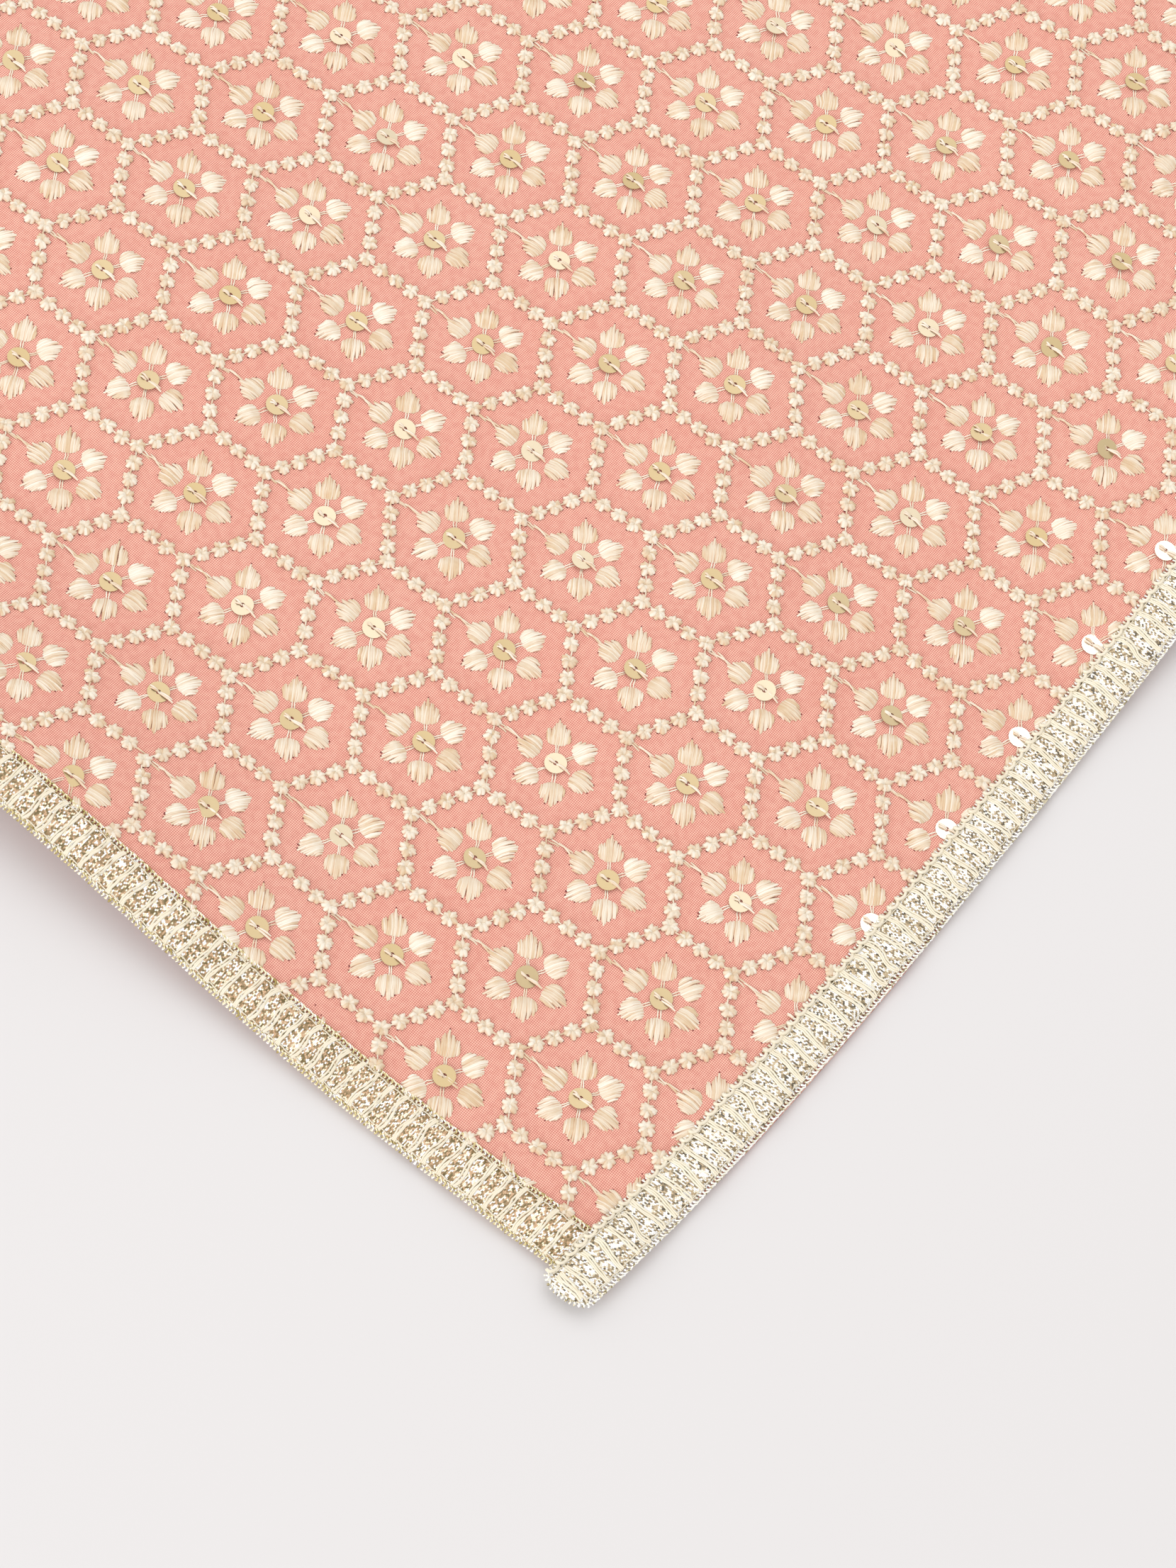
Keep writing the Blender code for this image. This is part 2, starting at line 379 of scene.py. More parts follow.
chance = np.random.default_rng(23)
flower = []
for degrees, tone in zip(PETAL_TURNS, PETAL_SHEEN_TONES):
    tips = np.linspace(-0.86, 0.86, PETAL_POINTS) * PETAL_HALF_WIDTH
    tips += chance.normal(0, 0.13 * MM, PETAL_POINTS)
    for across in np.linspace(-PETAL_HALF_WIDTH, PETAL_HALF_WIDTH, PETAL_THREADS):
        nearest = np.argmin(np.abs(tips - across))
        aside = tips[nearest] - across
        inner = np.interp(abs(across) / MM, PETAL_ACROSS, PETAL_INNER) * MM
        outer = np.interp(abs(across) / MM, PETAL_ACROSS, PETAL_OUTER) * MM - 0.7 * abs(aside)
        outer += chance.normal(0, 0.07 * MM)
        start = turned(inner, 0.86 * across, degrees)
        end = turned(outer, across + PETAL_DRAWN * aside, degrees)
        bulge = (0.6 - 0.3 * (across / PETAL_HALF_WIDTH) ** 2) * MM
        hole_from = WITH_HOLE if chance.uniform() < 0.2 else WITHOUT_HOLE
        flower.append((*start, *end, 0.27 * MM, bulge, 0.1 * MM, 0.05 * MM, hole_from, tone))
for degrees, reach in ((90, 1.75), (270, 3.1)):
    for aside, share in ((-0.2 * MM, 1.0), (0.22 * MM, 0.82)):
        start = turned(0.1 * MM, 0.3 * aside, degrees)
        end = turned(share * reach * MM, aside, degrees)
        flower.append((*start, *end, 0.22 * MM, 0.36 * MM, 0.16 * MM, -0.3 * MM, 2.0, 0.1))
for degrees in (30, 150, 210, 330):
    for aside in (-0.16 * MM, 0.16 * MM):
        start = turned(1.5 * MM, aside, degrees)
        end = turned(3.7 * MM, 1.4 * aside, degrees)
        flower.append((*start, *end, 0.13 * MM, 0.12 * MM, 0.1 * MM, 0.0, 2.0, 0.0))
JUMP_STITCHES = (
    # x, start y, end x, end y, half width, rise
    (-0.18, 12.4, -0.3, 10.2, 0.16, 0.12),
    (0.18, 12.3, 0.05, 10.4, 0.16, 0.12),
    (0.5, 10.7, -0.1, 7.6, 0.19, 0.3),
    (0.1, 10.9, 0.3, 7.5, 0.19, 0.25),
)
for x, y, end_x, end_y, half, rise in JUMP_STITCHES:
    flower.append((x * MM, y * MM, end_x * MM, end_y * MM, half * MM, rise * MM, 0.2 * MM, 0.0, 2.0, 0.3))
flower_plan = stitch_plan("flower_plan", flower)

corner_a = np.array(turned(HEX_RADIUS, 0, 90))
corner_b = np.array(turned(HEX_RADIUS, 0, 30))
corner_c = np.array(turned(HEX_RADIUS, 0, -30))
corner_d = np.array(turned(HEX_RADIUS, 0, 150))
stars = [corner_a, corner_b]
jaal = []
for start, end in ((corner_a, corner_b), (corner_b, corner_c), (corner_a, corner_d)):
    spots = [start + (end - start) * i / STARS_AN_EDGE for i in range(STARS_AN_EDGE + 1)]
    stars.extend(spots[1:-1])
    for one, other in zip(spots, spots[1:]):
        jaal.append((*one, *other, 0.16 * MM, 0.2 * MM, 0.3 * MM, 0.0, 2.0, 0.2))
for number, (x, y) in enumerate(stars):
    for spoke in range(STAR_SPOKES):
        degrees = 360 * spoke / STAR_SPOKES + 17 * number
        near_x, near_y = turned(0.1 * MM, 0, degrees)
        far_x, far_y = turned(STAR_RADIUS * chance.uniform(0.8, 1.06), 0, degrees + chance.normal(0, 12))
        spoke_ends = (x + near_x, y + near_y, x + far_x, y + far_y)
        hole_from = WITH_HOLE if chance.uniform() < 0.4 else WITHOUT_HOLE
        jaal.append((*spoke_ends, 0.66 * MM, 0.55 * MM, 0.16 * MM, 0.02 * MM, hole_from, 0.2))
jaal_plan = stitch_plan("jaal_plan", jaal)

# Every cell's centre; the cells that the photograph shows close are sewn thread by thread.
centres = []
for row in range(ROWS_ACROSS + 1):
    first = END_MARGIN - REPEAT if row % 2 else END_MARGIN - REPEAT / 2
    for u in np.arange(first, LENGTH, REPEAT):
        centres.append((u, SIDE_MARGIN + row * ROW_STEP))
centres = np.array(centres)
CLOSE_OUTLINE = np.array(((-20, -20), (184, -20), (298, 66), (130, 262), (-20, 152))) * MM


def inside_outline(places, outline):
    """Which places lie inside an outline whose corners run anticlockwise."""
    inside = np.ones(len(places), bool)
    for a, b in zip(outline, np.roll(outline, -1, axis=0)):
        inside &= (b[0] - a[0]) * (places[:, 1] - a[1]) > (b[1] - a[1]) * (places[:, 0] - a[0])
    return inside


close = inside_outline(centres, CLOSE_OUTLINE)
print("cells", len(centres), "close", int(close.sum()))


def cell_points(name, places):
    """Loose points on the table's plane, one for each cell centre."""
    return keep_mesh(name, [(u - LENGTH / 2, v - WIDTH / 2, 0) for u, v in places], [], None)


def open_tree(name, inputs):
    """A geometry tree with one geometry output, and its named inputs."""
    tree = bpy.data.node_groups.new(name, "GeometryNodeTree")
    for label, kind in inputs.items():
        tree.interface.new_socket(name=label, in_out="INPUT", socket_type=kind)
    tree.interface.new_socket(name="Geometry", in_out="OUTPUT", socket_type="NodeSocketGeometry")
    return tree, tree.nodes.new("NodeGroupInput").outputs


def finish_tree(tree, geometry, material):
    """Ends a geometry tree: one real mesh in its material."""
    whole = add_node(tree, "GeometryNodeRealizeInstances", {"Geometry": geometry})
    finished = add_node(tree, "GeometryNodeSetMaterial", {"Geometry": whole, "Material": material})
    add_node(tree, "NodeGroupOutput", {"Geometry": finished})


def on_every_cell(tree, points, motif, seed, most_askew):
    """The motif on every point, each turned a little its own way."""
    askew = add_node(
        tree,
        "FunctionNodeRandomValue",
        {0: (0.0, 0.0, -most_askew), 1: (0.0, 0.0, most_askew), "Seed": seed},
        data_type="FLOAT_VECTOR",
    )
    placed = add_node(
        tree, "GeometryNodeInstanceOnPoints", {"Points": points, "Instance": motif, "Rotation": askew}
    )
    return add_node(tree, "GeometryNodeRealizeInstances", {"Geometry": placed})


def drop_onto(tree, target, more=None):
    """Where each point falls straight down from DROP_FROM on the target; more has further inputs."""
    below = add_node(tree, "GeometryNodeObjectInfo", {"Object": target}, transform_space="RELATIVE")
    position = add_node(tree, "GeometryNodeInputPosition")
    high = add_node(
        tree,
        "ShaderNodeVectorMath",
        {0: position, 1: (1, 1, 0), 2: (0, 0, DROP_FROM)},
        operation="MULTIPLY_ADD",
    )
    fall = {"Ray Direction": (0, 0, -1), "Ray Length": 2 * DROP_FROM, "Source Position": high}
    return add_node(
        tree,
        "GeometryNodeRaycast",
        {"Target Geometry": below.outputs["Geometry"], **fall, **(more or {})},
        data_type="FLOAT",
        mapping="INTERPOLATED",
    )


def clear_of_tape(tree, geometry, given, domain, least_seen):
    """Takes away what lies under the tape: what is kept, its drop, what is seen, and its free rise."""
    to_edge = add_node(tree, "GeometryNodeInputNamedAttribute", {"Name": "to_edge"}, data_type="FLOAT")
    drop = drop_onto(tree, given["Cloth"], {"Attribute": to_edge})
    past_tape = add_node(
        tree, "ShaderNodeMath", {0: drop.outputs["Attribute"], 1: given["Tape width"]}, operation="SUBTRACT"
    )
    clear = add_node(tree, "ShaderNodeMath", {0: past_tape, 1: 0.0}, operation="GREATER_THAN")
    seen = add_node(tree, "ShaderNodeMath", {0: clear, 1: drop.outputs["Is Hit"]}, operation="MULTIPLY")
    share = add_node(tree, "GeometryNodeFieldOnDomain", {"Value": seen}, data_type="FLOAT", domain=domain)
    under_tape = add_node(tree, "ShaderNodeMath", {0: share, 1: least_seen}, operation="LESS_THAN")
    kept = add_node(
        tree, "GeometryNodeDeleteGeometry", {"Geometry": geometry, "Selection": under_tape}, domain=domain
    )
    free_rise = add_node(
        tree,
        "ShaderNodeMapRange",
        {"From Min": -1.0 * MM, "From Max": 0.6 * MM, "To Min": 0.0, "To Max": 1.0, "Value": past_tape},
    )
    return kept, drop, seen, free_rise


def at_height(tree, geometry, level):
    """Moves points up or down to a level."""
    position = add_node(tree, "GeometryNodeInputPosition")
    plan = add_node(tree, "ShaderNodeSeparateXYZ", {"Vector": position})
    spot = add_node(
        tree, "ShaderNodeCombineXYZ", {"X": plan.outputs["X"], "Y": plan.outputs["Y"], "Z": level}
    )
    return add_node(tree, "GeometryNodeSetPosition", {"Geometry": geometry, "Position": spot})


def made_by(tree, base, name, inputs):
    """Runs a geometry tree on a base mesh and keeps the result as a plain mesh."""
    holder = bpy.data.objects.new(name + "_base", base)
    bpy.context.scene.collection.objects.link(holder)
    modifier = holder.modifiers.new("tree", "NODES")
    modifier.node_group = tree
    for item in tree.interface.items_tree:
        if item.in_out == "INPUT" and item.name in inputs:
            modifier[item.identifier] = inputs[item.name]
    graph = bpy.context.evaluated_depsgraph_get()
    mesh = bpy.data.meshes.new_from_object(
        holder.evaluated_get(graph), preserve_all_data_layers=True, depsgraph=graph
    )
    bpy.data.objects.remove(holder, do_unlink=True)
    mesh.name = name
    piece = bpy.data.objects.new(name, mesh)
    bpy.context.scene.collection.objects.link(piece)
    print(name, "triangles", sum(len(p.vertices) - 2 for p in mesh.polygons))
    return piece


stitching, given = open_tree(
    "stitches_laid_on_cloth",
    {
        "Plan": "NodeSocketGeometry",
        "Cells": "NodeSocketObject",
        "Cloth": "NodeSocketObject",
        "Thread": "NodeSocketMaterial",
        "Points a stitch": "NodeSocketInt",
        "Tape width": "NodeSocketFloat",
        "Bundling": "NodeSocketFloat",
        "Tip share": "NodeSocketFloat",
        "Hole radius": "NodeSocketFloat",
        "Seed": "NodeSocketInt",
    },
)
cells = add_node(
    stitching, "GeometryNodeObjectInfo", {"Object": given["Cells"]}, transform_space="RELATIVE"
)
sewn = on_every_cell(stitching, cells.outputs["Geometry"], given["Plan"], given["Seed"], 0.045)
index = add_node(stitching, "GeometryNodeInputIndex")
halved = add_node(stitching, "ShaderNodeMath", {0: index, 1: 0.5}, operation="MULTIPLY")
stitch_number = add_node(stitching, "ShaderNodeMath", {0: halved}, operation="FLOOR")
shade = add_node(
    stitching, "FunctionNodeRandomValue", {"ID": stitch_number, "Seed": given["Seed"]}, data_type="FLOAT"
)
shaded = add_node(
    stitching,
    "GeometryNodeStoreNamedAttribute",
    {"Name": "shade", "Geometry": sewn, "Value": shade},
    data_type="FLOAT",
    domain="POINT",
)
stored = {}
for column in ("along", "width", "rise", "loose", "bury", "hole_from"):
    stored[column] = add_node(
        stitching, "GeometryNodeInputNamedAttribute", {"Name": column}, data_type="FLOAT"
    )
stray = add_node(
    stitching,
    "FunctionNodeRandomValue",
    {0: (-1, -1, 0), 1: (1, 1, 0), "Seed": given["Seed"]},
    data_type="FLOAT_VECTOR",
)
ragged = add_node(stitching, "ShaderNodeVectorMath", {0: stray, "Scale": stored["loose"]}, operation="SCALE")
frayed = add_node(stitching, "GeometryNodeSetPosition", {"Geometry": shaded, "Offset": ragged})
lines = add_node(stitching, "GeometryNodeMeshToCurve", {"Mesh": frayed})
pointed = add_node(
    stitching, "GeometryNodeResampleCurve", {"Curve": lines, "Count": given["Points a stitch"]}, mode="COUNT"
)
rest = add_node(stitching, "ShaderNodeMath", {0: 1.0, 1: stored["along"]}, operation="SUBTRACT")
both = add_node(stitching, "ShaderNodeMath", {0: stored["along"], 1: rest}, operation="MULTIPLY")
arch = add_node(stitching, "ShaderNodeMath", {0: both, 1: 4.0}, operation="MULTIPLY")
clump = add_node(stitching, "ShaderNodeTexNoise", {"Scale": 900.0, "Detail": 0.0})
centred = add_node(
    stitching, "ShaderNodeVectorMath", {0: clump.outputs["Color"], 1: (0.5, 0.5, 0.5)}, operation="SUBTRACT"
)
pull = add_node(stitching, "ShaderNodeMath", {0: arch, 1: given["Bundling"]}, operation="MULTIPLY")
bundling = add_node(stitching, "ShaderNodeVectorMath", {0: centred, "Scale": pull}, operation="SCALE")
clumped = add_node(stitching, "GeometryNodeSetPosition", {"Geometry": pointed, "Offset": bundling})
kept, drop, seen, free_rise = clear_of_tape(stitching, clumped, given, "CURVE", 0.4)
arched = add_node(stitching, "ShaderNodeMath", {0: arch, 1: stored["rise"]}, operation="MULTIPLY")
held = add_node(stitching, "ShaderNodeMath", {0: arched, 1: free_rise}, operation="MULTIPLY")
above = add_node(stitching, "ShaderNodeMath", {0: held, 1: stored["bury"]}, operation="SUBTRACT")
hit = add_node(stitching, "ShaderNodeSeparateXYZ", {"Vector": drop.outputs["Hit Position"]})
level = add_node(stitching, "ShaderNodeMath", {0: hit.outputs["Z"], 1: above}, operation="ADD")
laid = at_height(stitching, kept, level)
upright = add_node(stitching, "GeometryNodeSetCurveNormal", {"Curve": laid}, mode="Z_UP")
taper = add_node(
    stitching,
    "ShaderNodeMapRange",
    {"From Min": 0.0, "From Max": 0.85, "To Min": given["Tip share"], "To Max": 1.0, "Value": arch},
)
girth = add_node(stitching, "ShaderNodeMath", {0: stored["width"], 1: taper}, operation="MULTIPLY")
half_round = add_node(
    stitching,
    "GeometryNodeCurveArc",
    {"Resolution": 3, "Radius": 1.0, "Start Angle": np.pi, "Sweep Angle": np.pi},
    mode="RADIUS",
)
around_thread = add_node(stitching, "GeometryNodeSplineParameter")
profile = add_node(
    stitching,
    "GeometryNodeStoreNamedAttribute",
    {"Name": "round_thread", "Geometry": half_round, "Value": around_thread},
    data_type="FLOAT",
    domain="POINT",
)
threads = add_node(
    stitching, "GeometryNodeCurveToMesh", {"Curve": upright, "Profile Curve": profile, "Scale": girth}
)
rounded = add_node(stitching, "GeometryNodeSetShadeSmooth", {"Geometry": threads})
# Each needle hole is a tiny disc of painted shade just past the outer end of its stitch.
far_end = add_node(
    stitching, "ShaderNodeMath", {0: stored["along"], 1: stored["hole_from"]}, operation="GREATER_THAN"
)
beyond = add_node(
    stitching, "GeometryNodeInputNamedAttribute", {"Name": "beyond"}, data_type="FLOAT_VECTOR"
)
hole_marks = add_node(stitching, "GeometryNodeMeshToPoints", {"Mesh": frayed, "Selection": far_end})
past_end = add_node(stitching, "GeometryNodeSetPosition", {"Geometry": hole_marks, "Offset": beyond})
hidden = add_node(stitching, "ShaderNodeMath", {0: seen, 1: 0.5}, operation="LESS_THAN")
open_marks = add_node(
    stitching, "GeometryNodeDeleteGeometry", {"Geometry": past_end, "Selection": hidden}, domain="POINT"
)
just_above = add_node(stitching, "ShaderNodeMath", {0: hit.outputs["Z"], 1: 0.03 * MM}, operation="ADD")
hole_places = at_height(stitching, open_marks, just_above)
hole_shade_disc = add_node(
    stitching, "GeometryNodeMeshCircle", {"Vertices": 4, "Radius": given["Hole radius"]}, fill_type="NGON"
)
hole_shade_discs = add_node(stitching, "GeometryNodeInstanceOnPoints", {"Points": hole_places, "Instance": hole_shade_disc})
gathered = add_node(stitching, "GeometryNodeJoinGeometry", {"Geometry": rounded})
feed(gathered, {"Geometry": hole_shade_discs})
finish_tree(stitching, gathered, given["Thread"])

# Cream rayon machine thread: smooth bright filament, glossy along its length, each stitch a little
# paler or more golden than the next. Its flanks are painted darker as shade between neighbouring
# threads, and where it goes down, its needle hole is a dark red painted shade.
THREAD_PALE = "#F8F3E6"
THREAD_GOLDEN = "#DCC19D"
THREAD_FLANK_SHADE = "#D2A783"
NEEDLE_HOLE_SHADE = "#7E2C27"
rayon, tree, shader = new_material("cream_rayon_embroidery_thread")
told = {}
for name in ("shade", "along", "tone", "round_thread", "hole_from"):
    told[name] = add_node(tree, "ShaderNodeAttribute", attribute_name=name).outputs["Fac"]
patches = patchy(tree, 450.0, 2.0)
mixed_shade = add_node(
    tree, "ShaderNodeMath", {0: told["shade"], 1: patches}, operation="MULTIPLY", use_clamp=True
)
# The plan's tone makes a stitch more golden; on the petals it is painted sheen, set by each petal's turn.
shade_share = add_node(
    tree,
    "ShaderNodeMath",
    {0: mixed_shade, 1: 1.3, 2: told["tone"]},
    operation="MULTIPLY_ADD",
    use_clamp=True,
)
tone = add_node(
    tree,
    "ShaderNodeMix",
    {"A": linear(THREAD_PALE), "B": linear(THREAD_GOLDEN), "Factor": shade_share},
    data_type="RGBA",
)
# Away from its crest each thread is painted darker, as the shade that falls between threads.
from_middle = add_node(tree, "ShaderNodeMath", {0: told["round_thread"], 1: 0.5}, operation="SUBTRACT")
off_crest = add_node(tree, "ShaderNodeMath", {0: from_middle}, operation="ABSOLUTE")
crest = add_node(
    tree,
    "ShaderNodeMapRange",
    {"From Min": 0.18, "From Max": 0.5, "To Min": 1.0, "To Max": 0.1, "Value": off_crest},
)
lit = add_node(
    tree, "ShaderNodeMix", {"A": linear(THREAD_FLANK_SHADE), "B": tone, "Factor": crest}, data_type="RGBA"
)
# Past hole_from, the thread's tip and each hole disc take the needle hole's painted shade.
hole = add_node(tree, "ShaderNodeMath", {0: told["along"], 1: told["hole_from"]}, operation="GREATER_THAN")
colour = add_node(
    tree, "ShaderNodeMix", {"A": lit, "B": linear(NEEDLE_HOLE_SHADE), "Factor": hole}, data_type="RGBA"
)
feed(shader, {"Base Color": colour, "Roughness": 0.42})

close_cells = cell_points("close_cells", centres[close])
common = {
    "Cells": close_cells,
    "Cloth": cloth,
    "Thread": rayon,
    "Tape width": SEWN_FROM,
    "Hole radius": HOLE_RADIUS,
}
flower_sizes = {"Points a stitch": 4, "Bundling": 0.5 * MM, "Tip share": 0.7, "Seed": 3}
flowers = made_by(stitching, flower_plan, "satin_flowers_close", {**common, **flower_sizes})
jaal_sizes = {"Points a stitch": 3, "Bundling": 0.6 * MM, "Tip share": 0.62, "Seed": 8}
jaal_lines = made_by(stitching, jaal_plan, "eyelet_jaal_close", {**common, **jaal_sizes})
bpy.data.objects.remove(close_cells, do_unlink=True)
for piece in (flowers, jaal_lines):
    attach(piece, "root")


# Past the part that is shown close, the same cells are made plainer: each petal is one low satin pad
# and each star one low boss. They stand on the cloth in the same places, with the threads as relief.
PAD_RISE = 0.55 * MM
BOSS_RISE = 0.4 * MM
PAD_OUTLINE = ((3.3, 0.0), (3.9, 2.4), (6.4, 2.6), (8.3, 0.0), (6.4, -2.6), (3.9, -2.4))
PAD_RIDGE = ((4.6, 0.0), (6.7, 0.0))
PAD_FACES = ((0, 6, 1), (1, 6, 7, 2), (2, 7, 3), (3, 7, 4), (4, 7, 6, 5), (5, 6, 0))
BOSS_RADII = (1.8, 1.5, 1.75, 1.55, 1.7)
motif_points = []
motif_faces = []
motif_threads = []


def add_to_motif(points, faces, threads):
    """Adds one low pad to the plain cell; threads has each point's place across and along them."""
    first = len(motif_points)
    motif_points.extend(points)
    motif_faces.extend(tuple(first + corner for corner in face) for face in faces)
    motif_threads.extend(threads)


for degrees in PETAL_TURNS:
    outline = [(*turned(r * MM, w * MM, degrees), -0.05 * MM) for r, w in PAD_OUTLINE]
    ridge = [(*turned(r * MM, w * MM, degrees), PAD_RISE) for r, w in PAD_RIDGE]
    faces = [tuple(reversed(face)) for face in PAD_FACES]
    add_to_motif(outline + ridge, faces, [(w, r) for r, w in PAD_OUTLINE + PAD_RIDGE])
for number, (x, y) in enumerate(stars):
    rim = []
    for spoke, radius in enumerate(BOSS_RADII):
        dx, dy = turned(radius * MM, 0, 360 * spoke / len(BOSS_RADII) + 25 * number)
        rim.append((x + dx, y + dy, -0.03 * MM))
    faces = [(0, 1 + spoke, 1 + (spoke + 1) % len(BOSS_RADII)) for spoke in range(len(BOSS_RADII))]
    points = [(x, y, BOSS_RISE)] + rim
    add_to_motif(points, faces, [(px / MM, py / MM) for px, py, pz in points])
jump = [(-0.35, 12.6, 0.1), (0.35, 12.6, 0.1), (0.4, 7.6, 0.35), (-0.4, 7.6, 0.35), (0, 10.2, 0.45)]
add_to_motif(
    [(x * MM, y * MM, z * MM) for x, y, z in jump],
    [(1, 0, 4), (2, 1, 4), (3, 2, 4), (0, 3, 4)],
    [(x, y) for x, y, z in jump],
)
motif = keep_mesh("plain_cell", motif_points, motif_faces, None, motif_threads)

padding, given = open_tree(
    "pads_laid_on_cloth",
    {
        "Cell": "NodeSocketGeometry",
        "Cells": "NodeSocketObject",
        "Cloth": "NodeSocketObject",
        "Thread": "NodeSocketMaterial",
        "Tape width": "NodeSocketFloat",
        "Seed": "NodeSocketInt",
    },
)
cells = add_node(padding, "GeometryNodeObjectInfo", {"Object": given["Cells"]}, transform_space="RELATIVE")
sewn = on_every_cell(padding, cells.outputs["Geometry"], given["Cell"], given["Seed"], 0.05)
kept, drop, seen, free_rise = clear_of_tape(padding, sewn, given, "FACE", 0.3)
position = add_node(padding, "GeometryNodeInputPosition")
own = add_node(padding, "ShaderNodeSeparateXYZ", {"Vector": position})
hit = add_node(padding, "ShaderNodeSeparateXYZ", {"Vector": drop.outputs["Hit Position"]})
level = add_node(
    padding,
    "ShaderNodeMath",
    {0: own.outputs["Z"], 1: free_rise, 2: hit.outputs["Z"]},
    operation="MULTIPLY_ADD",
)
laid = at_height(padding, kept, level)
rounded = add_node(padding, "GeometryNodeSetShadeSmooth", {"Geometry": laid})
finish_tree(padding, rounded, given["Thread"])

# The same cream rayon thread as satin pads: its threads show as fine ribs along each petal, with painted
# shade between them.
THREAD_PITCH_MM = 0.45
satin, tree, shader = new_material("cream_rayon_satin_pads")
lie = add_node(tree, "ShaderNodeUVMap", uv_map="millimetres")
axes = add_node(tree, "ShaderNodeSeparateXYZ", {"Vector": lie})
rib = yarn_rows(tree, axes.outputs["X"], THREAD_PITCH_MM)
tone = add_node(
    tree,
    "ShaderNodeMix",
    {"A": linear(THREAD_PALE), "B": linear(THREAD_GOLDEN), "Factor": patchy(tree, 700.0, 1.0)},
    data_type="RGBA",
)
# Between the ribs the colour is darkened as painted shade.
between = add_node(
    tree,
    "ShaderNodeMapRange",
    {"From Min": 0.0, "From Max": 0.6, "To Min": 0.72, "To Max": 1.0, "Value": rib},
)
colour = add_node(tree, "ShaderNodeVectorMath", {0: tone, "Scale": between}, operation="SCALE")
relief = add_node(tree, "ShaderNodeBump", {"Strength": 0.7, "Distance": 0.15 * MM, "Height": rib})
feed(shader, {"Base Color": colour, "Normal": relief, "Roughness": 0.42})

far_cells = centres[~close]
in_west = far_cells[:, 0] < LENGTH / 2
pads = []
for name, chosen in (("west", in_west), ("east", ~in_west)):
    points = cell_points(f"cells_{name}", far_cells[chosen])
    sizes = {"Cells": points, "Cloth": cloth, "Thread": satin, "Tape width": SEWN_FROM, "Seed": 5}
    pads.append(made_by(padding, motif.data, f"satin_pads_{name}", sizes))
    bpy.data.objects.remove(points, do_unlink=True)
bpy.data.objects.remove(motif, do_unlink=True)
for piece in pads:
    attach(piece, "root")


# Sequins: flat 4 mm discs of champagne metallised film, each held on the heart of its flower by two
# crossing threads through its hole. They lie a little askew, and some carry a painted glint.
SEQUIN_RADIUS = 2.0 * MM
SEQUIN_HOLE = 0.45 * MM
SEQUIN_THICKNESS = 0.1 * MM
SEQUIN_LIFT = 0.42 * MM
SEQUIN_TILT = 5
SEQUIN_EDGE_CLEAR = 8.6 * MM
SEQUIN_AT_TAPE = 11.5 * MM
SEQUIN_LIFT_AT_TAPE = 0.27 * MM
FILM_TINT = "#C2AC80"
FILM_PAINTED_GLINT = "#FFFAEC"


def ring_disc(name, sides, material):
    """A thin closed disc with a round hole, centred on the origin."""
    turns = 2 * np.pi * np.arange(sides) / sides
    rings = []
    for radius, level in (
        (SEQUIN_HOLE, 0.5),
        (SEQUIN_RADIUS, 0.5),
        (SEQUIN_RADIUS, -0.5),
        (SEQUIN_HOLE, -0.5),
    ):
        height = np.full(sides, level * SEQUIN_THICKNESS)
        rings.append(np.stack([radius * np.cos(turns), radius * np.sin(turns), height], -1))
    faces = []
    for ring in range(4):
        for i in range(sides):
            a, b = ring * sides + i, ring * sides + (i + 1) % sides
            c, d = (ring + 1) % 4 * sides + (i + 1) % sides, (ring + 1) % 4 * sides + i
            faces.append((a, d, c, b))
    return keep_mesh(name, np.concatenate(rings), faces, material, smooth=False)


def plain_disc(name, sides, material):
    """The same disc without its hole, for the cells that are made plainer."""
    turns = 2 * np.pi * np.arange(sides) / sides
    x, y = SEQUIN_RADIUS * np.cos(turns), SEQUIN_RADIUS * np.sin(turns)
    half = np.full(sides, SEQUIN_THICKNESS / 2)
    points = np.concatenate([np.stack([x, y, half], -1), np.stack([x, y, -half], -1)])
    faces = [tuple(range(sides)), tuple(range(2 * sides - 1, sides - 1, -1))]
    faces += [(i, i + sides, (i + 1) % sides + sides, (i + 1) % sides) for i in range(sides)]
    return keep_mesh(name, points, faces, material, smooth=False)


film, tree, shader = new_material("champagne_metallised_film")
relief = add_node(
    tree, "ShaderNodeBump", {"Strength": 0.25, "Distance": 0.1 * MM, "Height": patchy(tree, 420.0, 1.0)}
)
# A painted glint on each disc mixes the film toward a near-white highlight colour.
painted_glint = add_node(tree, "ShaderNodeAttribute", attribute_name="painted_glint")
colour = add_node(
    tree,
    "ShaderNodeMix",
    {"A": linear(FILM_TINT), "B": linear(FILM_PAINTED_GLINT), "Factor": painted_glint.outputs["Fac"]},
    data_type="RGBA",
)
feed(shader, {"Base Color": colour, "Normal": relief, "Metallic": 0.75, "Roughness": 0.45})

scattering, given = open_tree(
    "sequins_on_their_marks",
    {"Disc": "NodeSocketGeometry", "Marks": "NodeSocketObject", "Film": "NodeSocketMaterial"},
)
marks = add_node(
    scattering, "GeometryNodeObjectInfo", {"Object": given["Marks"]}, transform_space="RELATIVE"
)
lean = add_node(scattering, "GeometryNodeInputNamedAttribute", {"Name": "lean"}, data_type="FLOAT_VECTOR")
placed = add_node(
    scattering,
    "GeometryNodeInstanceOnPoints",
    {"Points": marks.outputs["Geometry"], "Instance": given["Disc"], "Rotation": lean},
)
finish_tree(scattering, placed, given["Film"])

clear_u = np.minimum(centres[:, 0], LENGTH - centres[:, 0])
clear_v = np.minimum(
    centres[:, 1] - side_inset(centres[:, 0]),
    WIDTH - centres[:, 1] - side_inset(LENGTH - centres[:, 0]),
)
clear_of_edge = np.minimum(clear_u, clear_v)
chance = np.random.default_rng(41)
leans = np.radians(chance.normal(0, SEQUIN_TILT, (len(centres), 3)))
